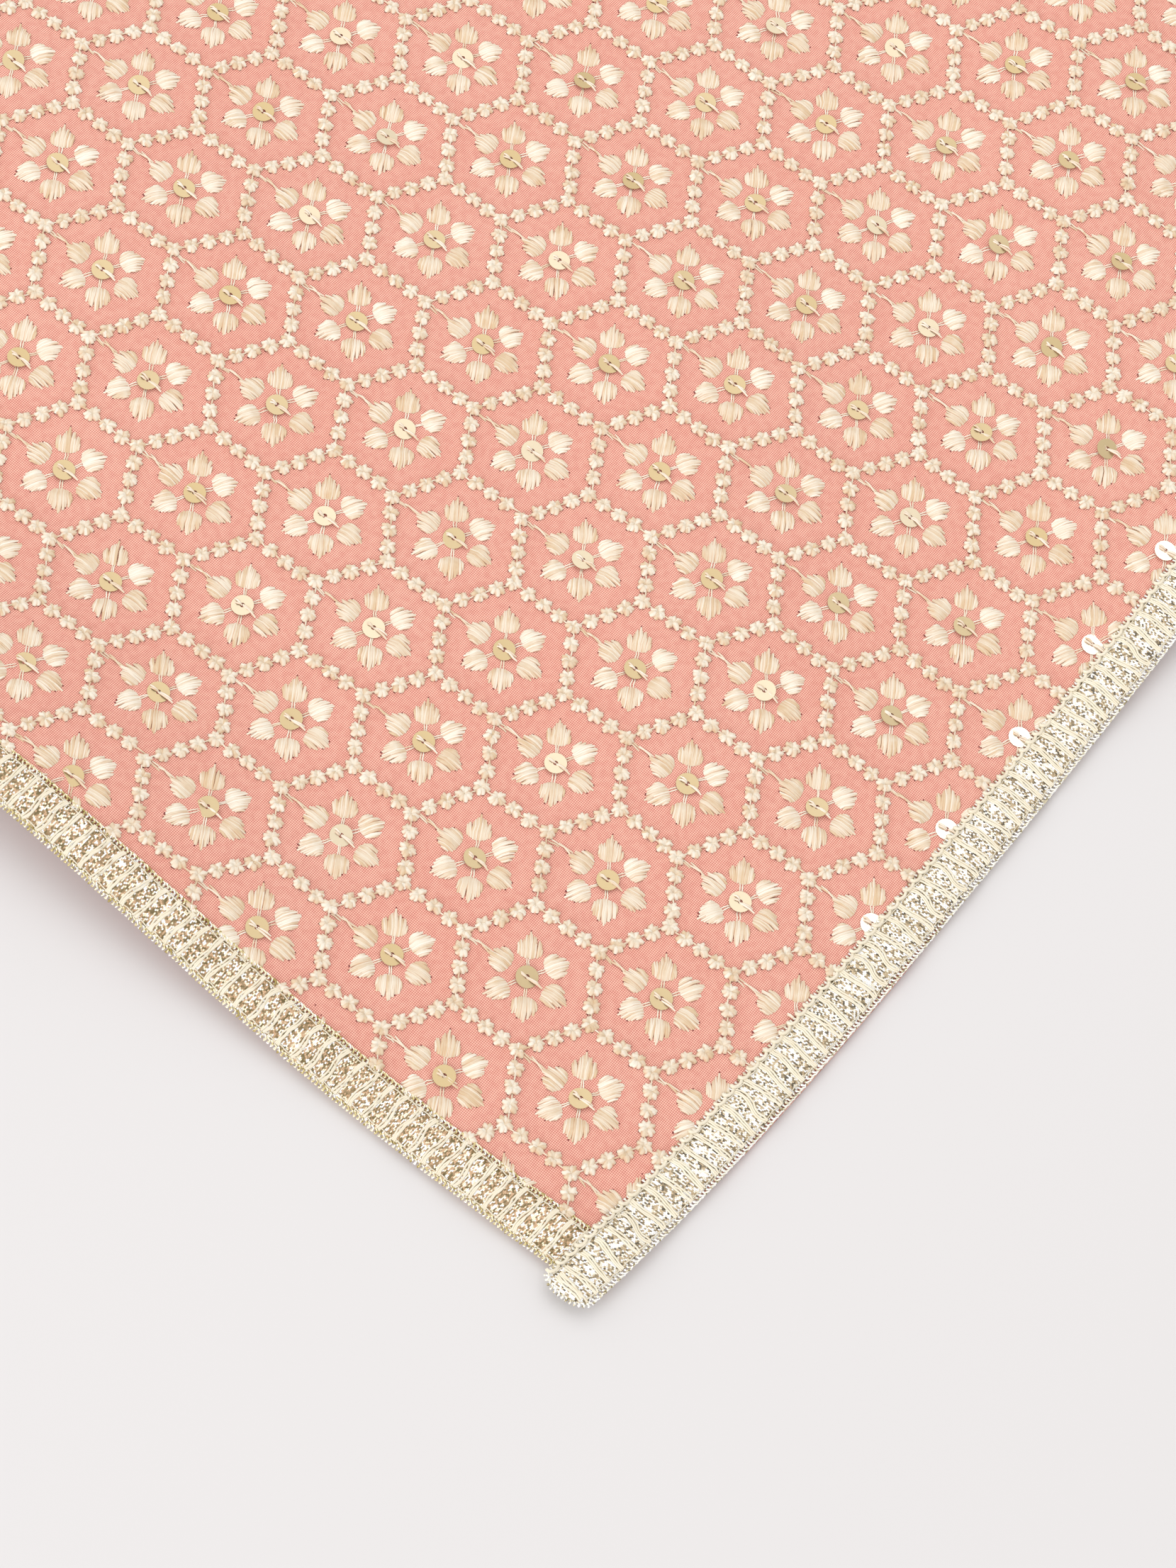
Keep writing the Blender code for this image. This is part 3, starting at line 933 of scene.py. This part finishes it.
# About a quarter of the discs carry a faint painted glint, and those whose rim is caught under the tape
# a strong one that paints them nearly silver; the rest a very slight one.
painted_glints = np.where(chance.uniform(size=len(centres)) < 0.25, 0.35, chance.uniform(0, 0.1, len(centres)))
painted_glints = np.where(clear_of_edge < SEQUIN_AT_TAPE, 0.95, painted_glints)
sequins = []
for name, make_disc, sides, chosen in (("close", ring_disc, 18, close), ("far", plain_disc, 6, ~close)):
    chosen = chosen & (clear_of_edge > SEQUIN_EDGE_CLEAR)
    places = centres[chosen]
    lean = leans[chosen]
    points = cell_points(f"marks_{name}", places)
    ground = ripple_height(*places.T) + pucker_height(*places.T)
    at_tape = clear_of_edge[chosen] < SEQUIN_AT_TAPE
    ground += CLOTH_OFF_TABLE + CLOTH_WALL + np.where(at_tape, SEQUIN_LIFT_AT_TAPE, SEQUIN_LIFT)
    lean[at_tape] = 0
    for vertex, level in zip(points.data.vertices, ground):
        vertex.co.z = level
    store_values(points.data, "lean", lean, "FLOAT_VECTOR")
    store_values(points.data, "painted_glint", painted_glints[chosen])
    disc = make_disc(f"disc_{name}", sides, film)
    sequins.append(made_by(scattering, disc.data, f"sequins_{name}", {"Marks": points, "Film": film}))
    bpy.data.objects.remove(points, do_unlink=True)
    bpy.data.objects.remove(disc, do_unlink=True)
for piece in sequins:
    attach(piece, "root")


# The edging: a 9 mm woven tape of metallic film yarn, crossed by bars of cream thread, with a picot of
# gold gimp along both edges. It is sewn flat on the cloth. The long tapes end folded over the short.
TAPE_WALL = 0.45 * MM
TAPE_LIFT = 0.06 * MM
TAPE_END_PAST_CORNER = 3.2 * MM
TAPE_OVERLAP = 1.05 * MM
FOLD_ROUNDING = 1.6 * MM
TAPE_ACROSS = (0.6, 2.2, 4.5, 6.8, 8.4)
TAPE_DOME = (0.0, 0.14, 0.2, 0.14, 0.0)
CLOSE_RUN = {"south": 294 * MM, "north": 0.0, "west": 262 * MM, "east": 0.0}
SIDES = ("south", "north", "west", "east")
LONG_SIDES = ("south", "north")


def tape_point(side, along, across, lift):
    """Points over a tape's bed: along from its start, across from its outer edge, lift above the cloth."""
    if side in LONG_SIDES:
        over = smooth_fall(along, 9.5 * MM, 17 * MM) + smooth_fall(LENGTH - along, 9.5 * MM, 17 * MM)
        v = across if side == "south" else WIDTH - across
        return cloth_point(along, v, lift + TAPE_OVERLAP * over)
    return cloth_point(across if side == "west" else LENGTH - across, along, lift)


def tape_span(side):
    """Where a tape starts and ends along its side."""
    if side in LONG_SIDES:
        return -TAPE_END_PAST_CORNER, LENGTH + TAPE_END_PAST_CORNER
    return CLOTH_INSIDE_TAPE, WIDTH - CLOTH_INSIDE_TAPE


def stepped_ramp(tree, share, stops):
    """A ramp of flat tints, each from its own place on."""
    ramp = add_node(tree, "ShaderNodeValToRGB", {"Fac": share})
    ramp.color_ramp.interpolation = "CONSTANT"
    for number, (place_on_ramp, code) in enumerate(stops):
        stop = ramp.color_ramp.elements[0] if number == 0 else ramp.color_ramp.elements.new(place_on_ramp)
        stop.position = place_on_ramp
        stop.color = linear(code)
    ramp.color_ramp.elements.remove(ramp.color_ramp.elements[-1])
    return ramp


# Film weave: narrow bricks of silver, champagne and bronze film yarn crossing cream yarn in a checker,
# each brick flat and mirror-like but turned a little its own way, so that the tape glitters. The white
# bricks are painted glints, and the darkest ones partly the yarn's own bronze and olive, partly painted
# dark reflection.
# The real bricks are about 0.25 by 0.3 mm, and are drawn a little coarser so that they show.
BRICK_ALONG_MM = 0.27
BRICK_ACROSS_MM = 0.38
CLUSTER_MM = 1.3
FILM_AND_GLINT_STOPS = {
    "gold": ((0.0, "#FFFFFF"), (0.27, "#FBEFD0"), (0.4, "#CFAA84"), (0.58, "#A0855E"), (0.77, "#7A693F")),
    "silver": ((0.0, "#FFFFFF"), (0.38, "#F6EFDB"), (0.52, "#C8B28F"), (0.68, "#988667"), (0.84, "#655C4C")),
}
weaves = {}
for finish, stops in FILM_AND_GLINT_STOPS.items():
    weave, tree, shader = new_material(f"{finish}_film_yarn_weave")
    lie = add_node(tree, "ShaderNodeUVMap", uv_map="millimetres")
    axes = add_node(tree, "ShaderNodeSeparateXYZ", {"Vector": lie})
    row = add_node(tree, "ShaderNodeMath", {0: axes.outputs["X"], 1: BRICK_ALONG_MM}, operation="DIVIDE")
    row_number = add_node(tree, "ShaderNodeMath", {0: row}, operation="FLOOR")
    stagger = add_node(tree, "ShaderNodeMath", {0: row_number, 1: 0.5}, operation="MULTIPLY")
    step = add_node(tree, "ShaderNodeMath", {0: axes.outputs["Y"], 1: BRICK_ACROSS_MM}, operation="DIVIDE")
    shifted = add_node(tree, "ShaderNodeMath", {0: step, 1: stagger}, operation="ADD")
    column = add_node(tree, "ShaderNodeMath", {0: shifted}, operation="FLOOR")
    brick = add_node(tree, "ShaderNodeCombineXYZ", {"X": row_number, "Y": column})
    pick = add_node(tree, "ShaderNodeTexWhiteNoise", {"Vector": brick}, noise_dimensions="3D")
    clusters = add_node(tree, "ShaderNodeTexNoise", {"Scale": 1 / CLUSTER_MM, "Detail": 0.0, "Vector": lie})
    cluster_share = add_node(
        tree,
        "ShaderNodeMapRange",
        {"From Min": 0.3, "From Max": 0.7, "To Min": 0.0, "To Max": 0.24, "Value": clusters},
    )
    tint_place = add_node(
        tree, "ShaderNodeMath", {0: pick, 1: 0.76, 2: cluster_share}, operation="MULTIPLY_ADD"
    )
    tints = stepped_ramp(tree, tint_place, stops)
    # A thin darker joint runs round each brick: painted shade where its yarn dives under the next.
    joint_across = add_node(tree, "ShaderNodeMath", {0: row, 1: 0.5}, operation="PINGPONG")
    joint_along = add_node(tree, "ShaderNodeMath", {0: shifted, 1: 0.5}, operation="PINGPONG")
    joint = add_node(tree, "ShaderNodeMath", {0: joint_across, 1: joint_along}, operation="MINIMUM")
    shown = add_node(
        tree,
        "ShaderNodeMapRange",
        {"From Min": 0.02, "From Max": 0.14, "To Min": 0.6, "To Max": 1.0, "Value": joint},
    )
    colour = add_node(tree, "ShaderNodeVectorMath", {0: tints, "Scale": shown}, operation="SCALE")
    facet = add_node(
        tree, "ShaderNodeVectorMath", {0: pick.outputs["Color"], 1: (0.5, 0.5, 0.5)}, operation="SUBTRACT"
    )
    normal = add_node(tree, "ShaderNodeNewGeometry").outputs["Normal"]
    tipped = add_node(
        tree, "ShaderNodeVectorMath", {0: facet, 1: (0.4, 0.4, 0.1), 2: normal}, operation="MULTIPLY_ADD"
    )
    facing = add_node(tree, "ShaderNodeVectorMath", {0: tipped}, operation="NORMALIZE")
    feed(shader, {"Base Color": colour, "Normal": facing, "Metallic": 0.15, "Roughness": 0.3})
    weaves[finish] = weave

finish_of = {"south": "silver", "north": "silver", "west": "gold", "east": "gold"}

tapes = []
for side in SIDES:
    start, end = tape_span(side)
    fine_end = max(CLOSE_RUN[side], start + 20 * MM)
    lines_along = stepped(start, fine_end, end, 1.5 * MM, 12 * MM)
    if side in LONG_SIDES:
        lines_along = np.unique(np.concatenate([lines_along, end - np.linspace(0, 20, 14) * MM]))
    along, across = np.meshgrid(lines_along, np.array(TAPE_ACROSS) * MM, indexing="ij")
    rounding = FOLD_ROUNDING * np.abs(across / TAPE_WIDTH * 2 - 1) ** 3
    along = along + rounding * (smooth_fall(along - start, 0, 4 * MM) - smooth_fall(end - along, 0, 4 * MM))
    crown = np.broadcast_to(np.array(TAPE_DOME) * MM, along.shape)
    upper = tape_point(side, along, across, TAPE_LIFT + TAPE_WALL + crown)
    lower = tape_point(side, along, across, TAPE_LIFT)
    spread = np.stack([along, across], -1) / MM
    if side in ("north", "west"):
        upper, lower, spread = upper[::-1], lower[::-1], spread[::-1]
    tapes.append(closed_sheet(f"woven_tape_{side}", upper, lower, weaves[finish_of[side]], spread))

# Cream bars: soft cotton-like yarn laid across the tape in bundles. On the ends the bundles are thin and
# straight, on the long sides fuller and bowed, with windows of film between them.
YARN_PALE = "#F4EDDC"
YARN_SHADE = "#E4D8BC"
yarn, tree, shader = new_material("cream_twisted_bar_yarn")
tone = add_node(
    tree,
    "ShaderNodeMix",
    {"A": linear(YARN_PALE), "B": linear(YARN_SHADE), "Factor": patchy(tree, 600.0, 2.0)},
    data_type="RGBA",
)
feed(shader, {"Base Color": tone, "Roughness": 0.5})


def swept_threads(name, paths, girth, sides, material):
    """Half-round threads that lie flat along short paths."""
    points = []
    faces = []
    around = np.linspace(0, np.pi, sides)
    for path in paths:
        ahead = np.gradient(path, axis=0)
        ahead /= np.linalg.norm(ahead, axis=1, keepdims=True)
        aside = np.cross((0, 0, 1), ahead)
        aside /= np.linalg.norm(aside, axis=1, keepdims=True)
        upright = np.cross(ahead, aside)
        first = len(points)
        for centre, side, up in zip(path, aside, upright):
            points.extend(centre + girth * (np.cos(a) * side + np.sin(a) * up) for a in around)
        for ring in range(len(path) - 1):
            for i in range(sides - 1):
                a = first + ring * sides + i
                faces.append((a, a + sides, a + sides + 1, a + 1))
    return keep_mesh(name, points, faces, material)


def bar_path(offset, bow, slant, sway, points, chance):
    """A thread across the tape: along the tape by offset, bow, slant and sway, over its crown."""
    t = np.linspace(0, 1, points)
    along = offset + bow * 4 * t * (1 - t) + slant * (t - 0.5) + sway * np.sin(2 * np.pi * t)
    along += chance.normal(0, 0.08, points)
    across = 0.7 + 7.6 * t
    height = 0.04 + 0.08 * 4 * t * (1 - t)
    return np.stack([along, -across, height], -1) * MM


# Each thread of a bundle: how far it stands from the middle, and how far it bows, in millimetres.
STRAIGHT_BARS = ((-0.26, 0.12), (0.0, -0.1), (0.27, 0.1))
BOWED_BARS = ((-0.38, -0.2), (-0.04, -0.12), (0.32, -0.2))
BAR_VARIANTS = 5
BAR_GIRTH = 0.17 * MM
BOWED_GIRTH = 0.18 * MM
BAR_PITCH = {"south": 3.3 * MM, "north": 3.3 * MM, "west": 3.1 * MM, "east": 3.1 * MM}


def bar_collection(name, bars, points, sides, girth):
    """Variants of one bundle of bars, kept in a collection outside the scene."""
    chance = np.random.default_rng(len(name))
    collection = bpy.data.collections.new(name)
    for number in range(BAR_VARIANTS):
        slant = chance.normal(0, 0.4)
        sway = chance.normal(0, 0.22)
        stretch = chance.uniform(0.7, 1.15)
        paths = [bar_path(offset, bow * stretch, slant, sway, points, chance) for offset, bow in bars]
        bundle = swept_threads(f"{name}_{number}", paths, girth, sides, yarn)
        bpy.context.scene.collection.objects.unlink(bundle)
        collection.objects.link(bundle)
    return collection


lining, given = open_tree(
    "pieces_along_a_seam",
    {
        "Seam": "NodeSocketGeometry",
        "Pieces": "NodeSocketCollection",
        "Tape": "NodeSocketObject",
        "Pitch": "NodeSocketFloat",
        "Kinds": "NodeSocketInt",
        "Finish": "NodeSocketMaterial",
        "Seed": "NodeSocketInt",
    },
)
seam = add_node(lining, "GeometryNodeMeshToCurve", {"Mesh": given["Seam"]})
marks = add_node(
    lining, "GeometryNodeResampleCurve", {"Curve": seam, "Length": given["Pitch"]}, mode="LENGTH"
)
heading = add_node(lining, "GeometryNodeInputTangent")
yaw = add_node(lining, "FunctionNodeAlignRotationToVector", {"Vector": heading}, axis="X", pivot_axis="Z")
pieces = add_node(
    lining,
    "GeometryNodeCollectionInfo",
    {"Separate Children": True, "Reset Children": True, "Collection": given["Pieces"]},
    transform_space="RELATIVE",
)
last_kind = add_node(lining, "ShaderNodeMath", {1: 1.0, 0: given["Kinds"]}, operation="SUBTRACT")
pick = add_node(
    lining, "FunctionNodeRandomValue", {4: 0, 5: last_kind, "Seed": given["Seed"]}, data_type="INT"
)
placed = add_node(
    lining,
    "GeometryNodeInstanceOnPoints",
    {"Pick Instance": True, "Points": marks, "Instance": pieces, "Instance Index": pick, "Rotation": yaw},
)
laid_out = add_node(lining, "GeometryNodeRealizeInstances", {"Geometry": placed})
drop = drop_onto(lining, given["Tape"])
missed = add_node(lining, "ShaderNodeMath", {0: 1.0, 1: drop.outputs["Is Hit"]}, operation="SUBTRACT")
on_tape = add_node(
    lining, "GeometryNodeDeleteGeometry", {"Geometry": laid_out, "Selection": missed}, domain="POINT"
)
hit = add_node(lining, "ShaderNodeSeparateXYZ", {"Vector": drop.outputs["Hit Position"]})
resting = add_node(lining, "ShaderNodeCombineXYZ", {"Z": hit.outputs["Z"]})
pressed = add_node(lining, "GeometryNodeSetPosition", {"Geometry": on_tape, "Offset": resting})
finish_tree(lining, pressed, given["Finish"])


def seam_mesh(points):
    """A line of edges through the points."""
    mesh = bpy.data.meshes.new("seam")
    mesh.from_pydata([tuple(p) for p in points], [(i, i + 1) for i in range(len(points) - 1)], [])
    return mesh


bars = []
kinds = {
    ("straight", "close"): bar_collection("straight_bars_close", STRAIGHT_BARS, 8, 4, BAR_GIRTH),
    ("bowed", "close"): bar_collection("bowed_bars_close", BOWED_BARS, 9, 4, BOWED_GIRTH),
    ("straight", "far"): bar_collection("straight_bars_far", STRAIGHT_BARS[::2], 3, 3, 1.8 * BAR_GIRTH),
    ("bowed", "far"): bar_collection("bowed_bars_far", BOWED_BARS[::2], 4, 3, 1.5 * BOWED_GIRTH),
}
for side, tape in zip(SIDES, tapes):
    start, end = tape_span(side)
    middle = CLOSE_RUN[side]
    form, margin = ("bowed", 2.9 * MM) if side in LONG_SIDES else ("straight", 1.2 * MM)
    runs = []
    if side in LONG_SIDES:
        runs.append(("west_fold", start + 0.6 * MM, start + 1.2 * MM))
        runs.append(("east_fold", end - 1.2 * MM, end - 0.6 * MM))
    runs.append(("far", max(start + margin, middle), end - margin))
    if middle:
        runs.append(("close", start + margin, middle))
    for distance, run_start, run_end in runs:
        step = 4 * MM if distance == "far" else 0.5 * MM
        along = np.linspace(run_start, run_end, 2 + round((run_end - run_start) / step))
        outer = tape_point(side, along, 0 * along, TAPE_LIFT) * (1, 1, 0)
        # The bars reach to the right of the seam's heading, so it runs with the tape's inside there.
        line = outer if side in ("north", "west") else outer[::-1]
        sizes = {
            "Pieces": kinds.get((form, distance), kinds["straight", "close"]),
            "Tape": tape,
            "Pitch": BAR_PITCH[side],
            "Kinds": BAR_VARIANTS,
            "Finish": yarn,
            "Seed": len(bars),
        }
        bars.append(made_by(lining, seam_mesh(line), f"cream_bars_{side}_{distance}", sizes))
for collection in kinds.values():
    for bundle in list(collection.objects):
        bpy.data.objects.remove(bundle, do_unlink=True)
    bpy.data.collections.remove(collection)

# Gimp picot: a core wound with flat gold and silver wire, looped forward and back along each edge. The
# long sides have more of the silver. The white stop of each wire's tints is a painted glint.
GIMP_WIRE_MM = 0.38
WIRE_AND_GLINT_STOPS = {
    "gold": ((0.0, "#FFF6D6"), (0.3, "#DCCB93"), (0.52, "#FFFFFF"), (0.7, "#B09D5E"), (0.84, "#F9F3DE")),
    "silver": ((0.0, "#FFFDF2"), (0.36, "#E3D9BC"), (0.52, "#FFFFFF"), (0.78, "#A79A74"), (0.88, "#FBF8EC")),
}
gimps = {}
for finish, stops in WIRE_AND_GLINT_STOPS.items():
    gimp, tree, shader = new_material(f"{finish}_wire_gimp")
    run = add_node(tree, "ShaderNodeAttribute", attribute_name="run").outputs["Fac"]
    around = add_node(tree, "ShaderNodeAttribute", attribute_name="around").outputs["Fac"]
    turns = add_node(tree, "ShaderNodeMath", {0: run, 1: 1 / (GIMP_WIRE_MM * MM)}, operation="MULTIPLY")
    wound = add_node(tree, "ShaderNodeMath", {0: turns, 1: around}, operation="ADD")
    wire = add_node(tree, "ShaderNodeMath", {0: wound}, operation="FLOOR")
    pick = add_node(tree, "ShaderNodeTexWhiteNoise", {"W": wire}, noise_dimensions="1D")
    tints = stepped_ramp(tree, pick, stops)
    feed(shader, {"Base Color": tints, "Metallic": 0.4, "Roughness": 0.3})
    gimps[finish] = gimp

looping, given = open_tree(
    "picot_cord",
    {
        "Seam": "NodeSocketGeometry",
        "Pitch": "NodeSocketFloat",
        "Back reach": "NodeSocketFloat",
        "Side reach": "NodeSocketFloat",
        "Rise": "NodeSocketFloat",
        "Strand turn": "NodeSocketFloat",
        "Thickness": "NodeSocketFloat",
        "Points a loop": "NodeSocketFloat",
        "Sides": "NodeSocketInt",
        "Finish": "NodeSocketMaterial",
    },
)
seam = add_node(looping, "GeometryNodeMeshToCurve", {"Mesh": given["Seam"]})
spacing = add_node(
    looping, "ShaderNodeMath", {0: given["Pitch"], 1: given["Points a loop"]}, operation="DIVIDE"
)
pointed = add_node(looping, "GeometryNodeResampleCurve", {"Curve": seam, "Length": spacing}, mode="LENGTH")
travel = add_node(looping, "GeometryNodeSplineParameter")
loops = add_node(
    looping, "ShaderNodeMath", {0: travel.outputs["Length"], 1: given["Pitch"]}, operation="DIVIDE"
)
turn = add_node(
    looping, "ShaderNodeMath", {1: 2 * np.pi, 0: loops, 2: given["Strand turn"]}, operation="MULTIPLY_ADD"
)
sine = add_node(looping, "ShaderNodeMath", {0: turn}, operation="SINE")
cosine = add_node(looping, "ShaderNodeMath", {0: turn}, operation="COSINE")
heading = add_node(looping, "GeometryNodeInputTangent")
sideways = add_node(looping, "ShaderNodeVectorMath", {0: (0, 0, 1), 1: heading}, operation="CROSS_PRODUCT")
back = add_node(looping, "ShaderNodeMath", {0: sine, 1: given["Back reach"]}, operation="MULTIPLY")
aside = add_node(looping, "ShaderNodeMath", {0: cosine, 1: given["Side reach"]}, operation="MULTIPLY")
raised = add_node(looping, "ShaderNodeMath", {0: sine, 1: given["Rise"]}, operation="MULTIPLY")
moved_back = add_node(looping, "ShaderNodeVectorMath", {0: heading, "Scale": back}, operation="SCALE")
moved_aside = add_node(looping, "ShaderNodeVectorMath", {0: sideways, "Scale": aside}, operation="SCALE")
lifted = add_node(looping, "ShaderNodeCombineXYZ", {"Z": raised})
in_plane = add_node(looping, "ShaderNodeVectorMath", {0: moved_aside, 1: moved_back}, operation="ADD")
moved = add_node(looping, "ShaderNodeVectorMath", {0: in_plane, 1: lifted}, operation="ADD")
looped = add_node(looping, "GeometryNodeSetPosition", {"Geometry": pointed, "Offset": moved})
marked = add_node(
    looping,
    "GeometryNodeStoreNamedAttribute",
    {"Name": "run", "Geometry": looped, "Value": travel.outputs["Length"]},
    data_type="FLOAT",
    domain="POINT",
)
round_profile = add_node(
    looping, "GeometryNodeCurvePrimitiveCircle", {"Radius": 1.0, "Resolution": given["Sides"]}
)
ring_place = add_node(looping, "GeometryNodeSplineParameter")
profile = add_node(
    looping,
    "GeometryNodeStoreNamedAttribute",
    {"Name": "around", "Geometry": round_profile, "Value": ring_place},
    data_type="FLOAT",
    domain="POINT",
)
cord = add_node(
    looping,
    "GeometryNodeCurveToMesh",
    {"Fill Caps": True, "Curve": marked, "Profile Curve": profile, "Scale": given["Thickness"]},
)
rounded = add_node(looping, "GeometryNodeSetShadeSmooth", {"Geometry": cord})
finish_tree(looping, rounded, given["Finish"])

PICOT_PITCH = 1.5 * MM
SCALLOP_PITCH = 2.2 * MM
PICOT_FAR_PITCH = 3.0 * MM
PICOT_RISE = 0.16 * MM
CORD_LIFT = TAPE_LIFT + 0.3 * MM
# Each cord: its edge, its place across the tape, how far its loops reach, and its half thickness.
PICOTS = (("outer", 0.3 * MM, 0.48 * MM, 0.18 * MM), ("inner", 8.7 * MM, 0.48 * MM, 0.18 * MM))
picots = []


def lay_cord(name, line, pitch, reach, thickness, points_a_loop, sides, finish, strand_turn=0.0):
    """A looped cord along a line of points, kept with the picots."""
    sizes = {
        "Pitch": pitch,
        "Back reach": -1.1 * reach,
        "Side reach": reach,
        "Rise": PICOT_RISE if reach else 0.0,
        "Strand turn": strand_turn,
        "Thickness": thickness,
        "Points a loop": points_a_loop,
        "Sides": sides,
        "Finish": finish,
    }
    picots.append(made_by(looping, seam_mesh(line), name, sizes))


for side in SIDES:
    gimp = gimps[finish_of[side]]
    start, end = tape_span(side)
    middle = CLOSE_RUN[side]
    inset = FOLD_ROUNDING if side in LONG_SIDES else 0.0
    for edge_name, across, reach, thickness in PICOTS:
        along = np.linspace(max(start + inset, middle), end - inset, 500)
        line = tape_point(side, along, 0 * along + across, CORD_LIFT)
        name = f"picot_{side}_{edge_name}"
        lay_cord(f"{name}_far", line, PICOT_FAR_PITCH, 1.15 * reach, 1.4 * thickness, 3.0, 3, gimp)
        if middle:
            along = np.linspace(start + inset, middle, 400)
            line = tape_point(side, along, 0 * along + across, CORD_LIFT)
            for strand, strand_turn in (("a", 0.0), ("b", np.pi)):
                lay_cord(f"{name}_{strand}", line, PICOT_PITCH, reach, thickness, 5.0, 4, gimp, strand_turn)
            # A cream thread binds the bars' ends inside each picot. On the inner edge of the long tape it
            # is fuller, and turns back in a round scallop past the gimp at each bundle.
            inside = 1.05 * MM if edge_name == "outer" else 7.95 * MM
            line = tape_point(side, along, 0 * along + inside, TAPE_LIFT + TAPE_WALL + 0.12 * MM)
            lay_cord(f"binding_{side}_{edge_name}", line, 3.1 * MM, 0.1 * MM, 0.14 * MM, 3.0, 3, yarn)
            if side == "south" and edge_name == "inner":
                line = tape_point(side, along, 0 * along + 8.7 * MM, TAPE_LIFT + TAPE_WALL + 0.2 * MM)
                lay_cord("scallops_south", line, SCALLOP_PITCH, 0.5 * MM, 0.36 * MM, 8.0, 4, yarn)
    if side in LONG_SIDES:
        for end_name, tip, way in (("west", start, 1), ("east", end, -1)):
            across = np.linspace(PICOTS[0][1], PICOTS[1][1], 24)
            along = tip + way * (FOLD_ROUNDING * np.abs(across / TAPE_WIDTH * 2 - 1) ** 3 - 0.25 * MM)
            line = tape_point(side, along, across, CORD_LIFT)
            for strand, strand_turn in (("a", 0.0), ("b", np.pi)):
                cord_name = f"picot_{side}_{end_name}_{strand}"
                lay_cord(cord_name, line, PICOT_PITCH, 0.4 * MM, 0.22 * MM, 6.0, 4, gimp, strand_turn)
for side, tape in zip(SIDES, tapes):
    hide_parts(f"lace_{side}")
for piece in (*tapes, *bars, *picots):
    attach(piece, "root")


# The setting: a pale matt board under an even pale room, with a softbox high on the far side of the
# corner that is shown and a wide low light, like a window, past its west end. The camera looks down
# on that corner.
FLOOR_COLOUR = "#D9D7D7"
board, tree, shader = new_material("pale_matt_studio_board")
feed(shader, {"Base Color": linear(FLOOR_COLOUR), "Roughness": 0.9})
floor = keep_mesh(
    "studio_floor",
    [(-6, -6, -0.0002), (6, -6, -0.0002), (6, 6, -0.0002), (-6, 6, -0.0002)],
    [(0, 1, 2, 3)],
    board,
)

world = bpy.data.worlds.new("pale_room")
world.use_nodes = True
feed(world.node_tree.nodes["Background"], {"Color": linear("#FFFDFC"), "Strength": 0.86})
bpy.context.scene.world = world
corner = Vector((-LENGTH / 2 + 0.1, -WIDTH / 2 + 0.08, 0))
LIGHT_COLUMNS = ("name", "toward", "distance", "size", "watts")
LIGHTS = (
    ("softbox", (0.45, 0.35, 1.1), 1.0, 0.9, 2.9),
    ("window", (-0.9, 0.1, 0.5), 2.0, 1.7, 19.0),
)
for row in LIGHTS:
    light = dict(zip(LIGHT_COLUMNS, row))
    lamp = bpy.data.lights.new(light["name"], "AREA")
    lamp.shape = "SQUARE"
    lamp.size = light["size"]
    lamp.energy = light["watts"]
    holder = bpy.data.objects.new(light["name"], lamp)
    toward = Vector(light["toward"]).normalized()
    holder.location = corner + toward * light["distance"]
    holder.rotation_mode = "QUATERNION"
    holder.rotation_quaternion = toward.to_track_quat("Z", "Y")
    bpy.context.scene.collection.objects.link(holder)

CAMERA_PLACE = Vector((-1256.81, -381.30, 631.29)) * MM
CAMERA_AIM = Vector((-977.51, -285.69, 2.6)) * MM
CAMERA_RIGHT = Vector((0.59237, -0.79295, 0.14256))
ahead = (CAMERA_AIM - CAMERA_PLACE).normalized()
upward = CAMERA_RIGHT.cross(ahead)
lens = bpy.data.cameras.new("camera")
lens.lens = 92.93
lens.sensor_width = 36
lens.clip_start = 0.02
camera = bpy.data.objects.new("camera", lens)
camera.matrix_world = Matrix(
    [(CAMERA_RIGHT[i], upward[i], -ahead[i], CAMERA_PLACE[i]) for i in range(3)] + [(0, 0, 0, 1)]
)
bpy.context.scene.collection.objects.link(camera)
bpy.context.scene.camera = camera
bpy.context.scene.view_settings.view_transform = "Standard"
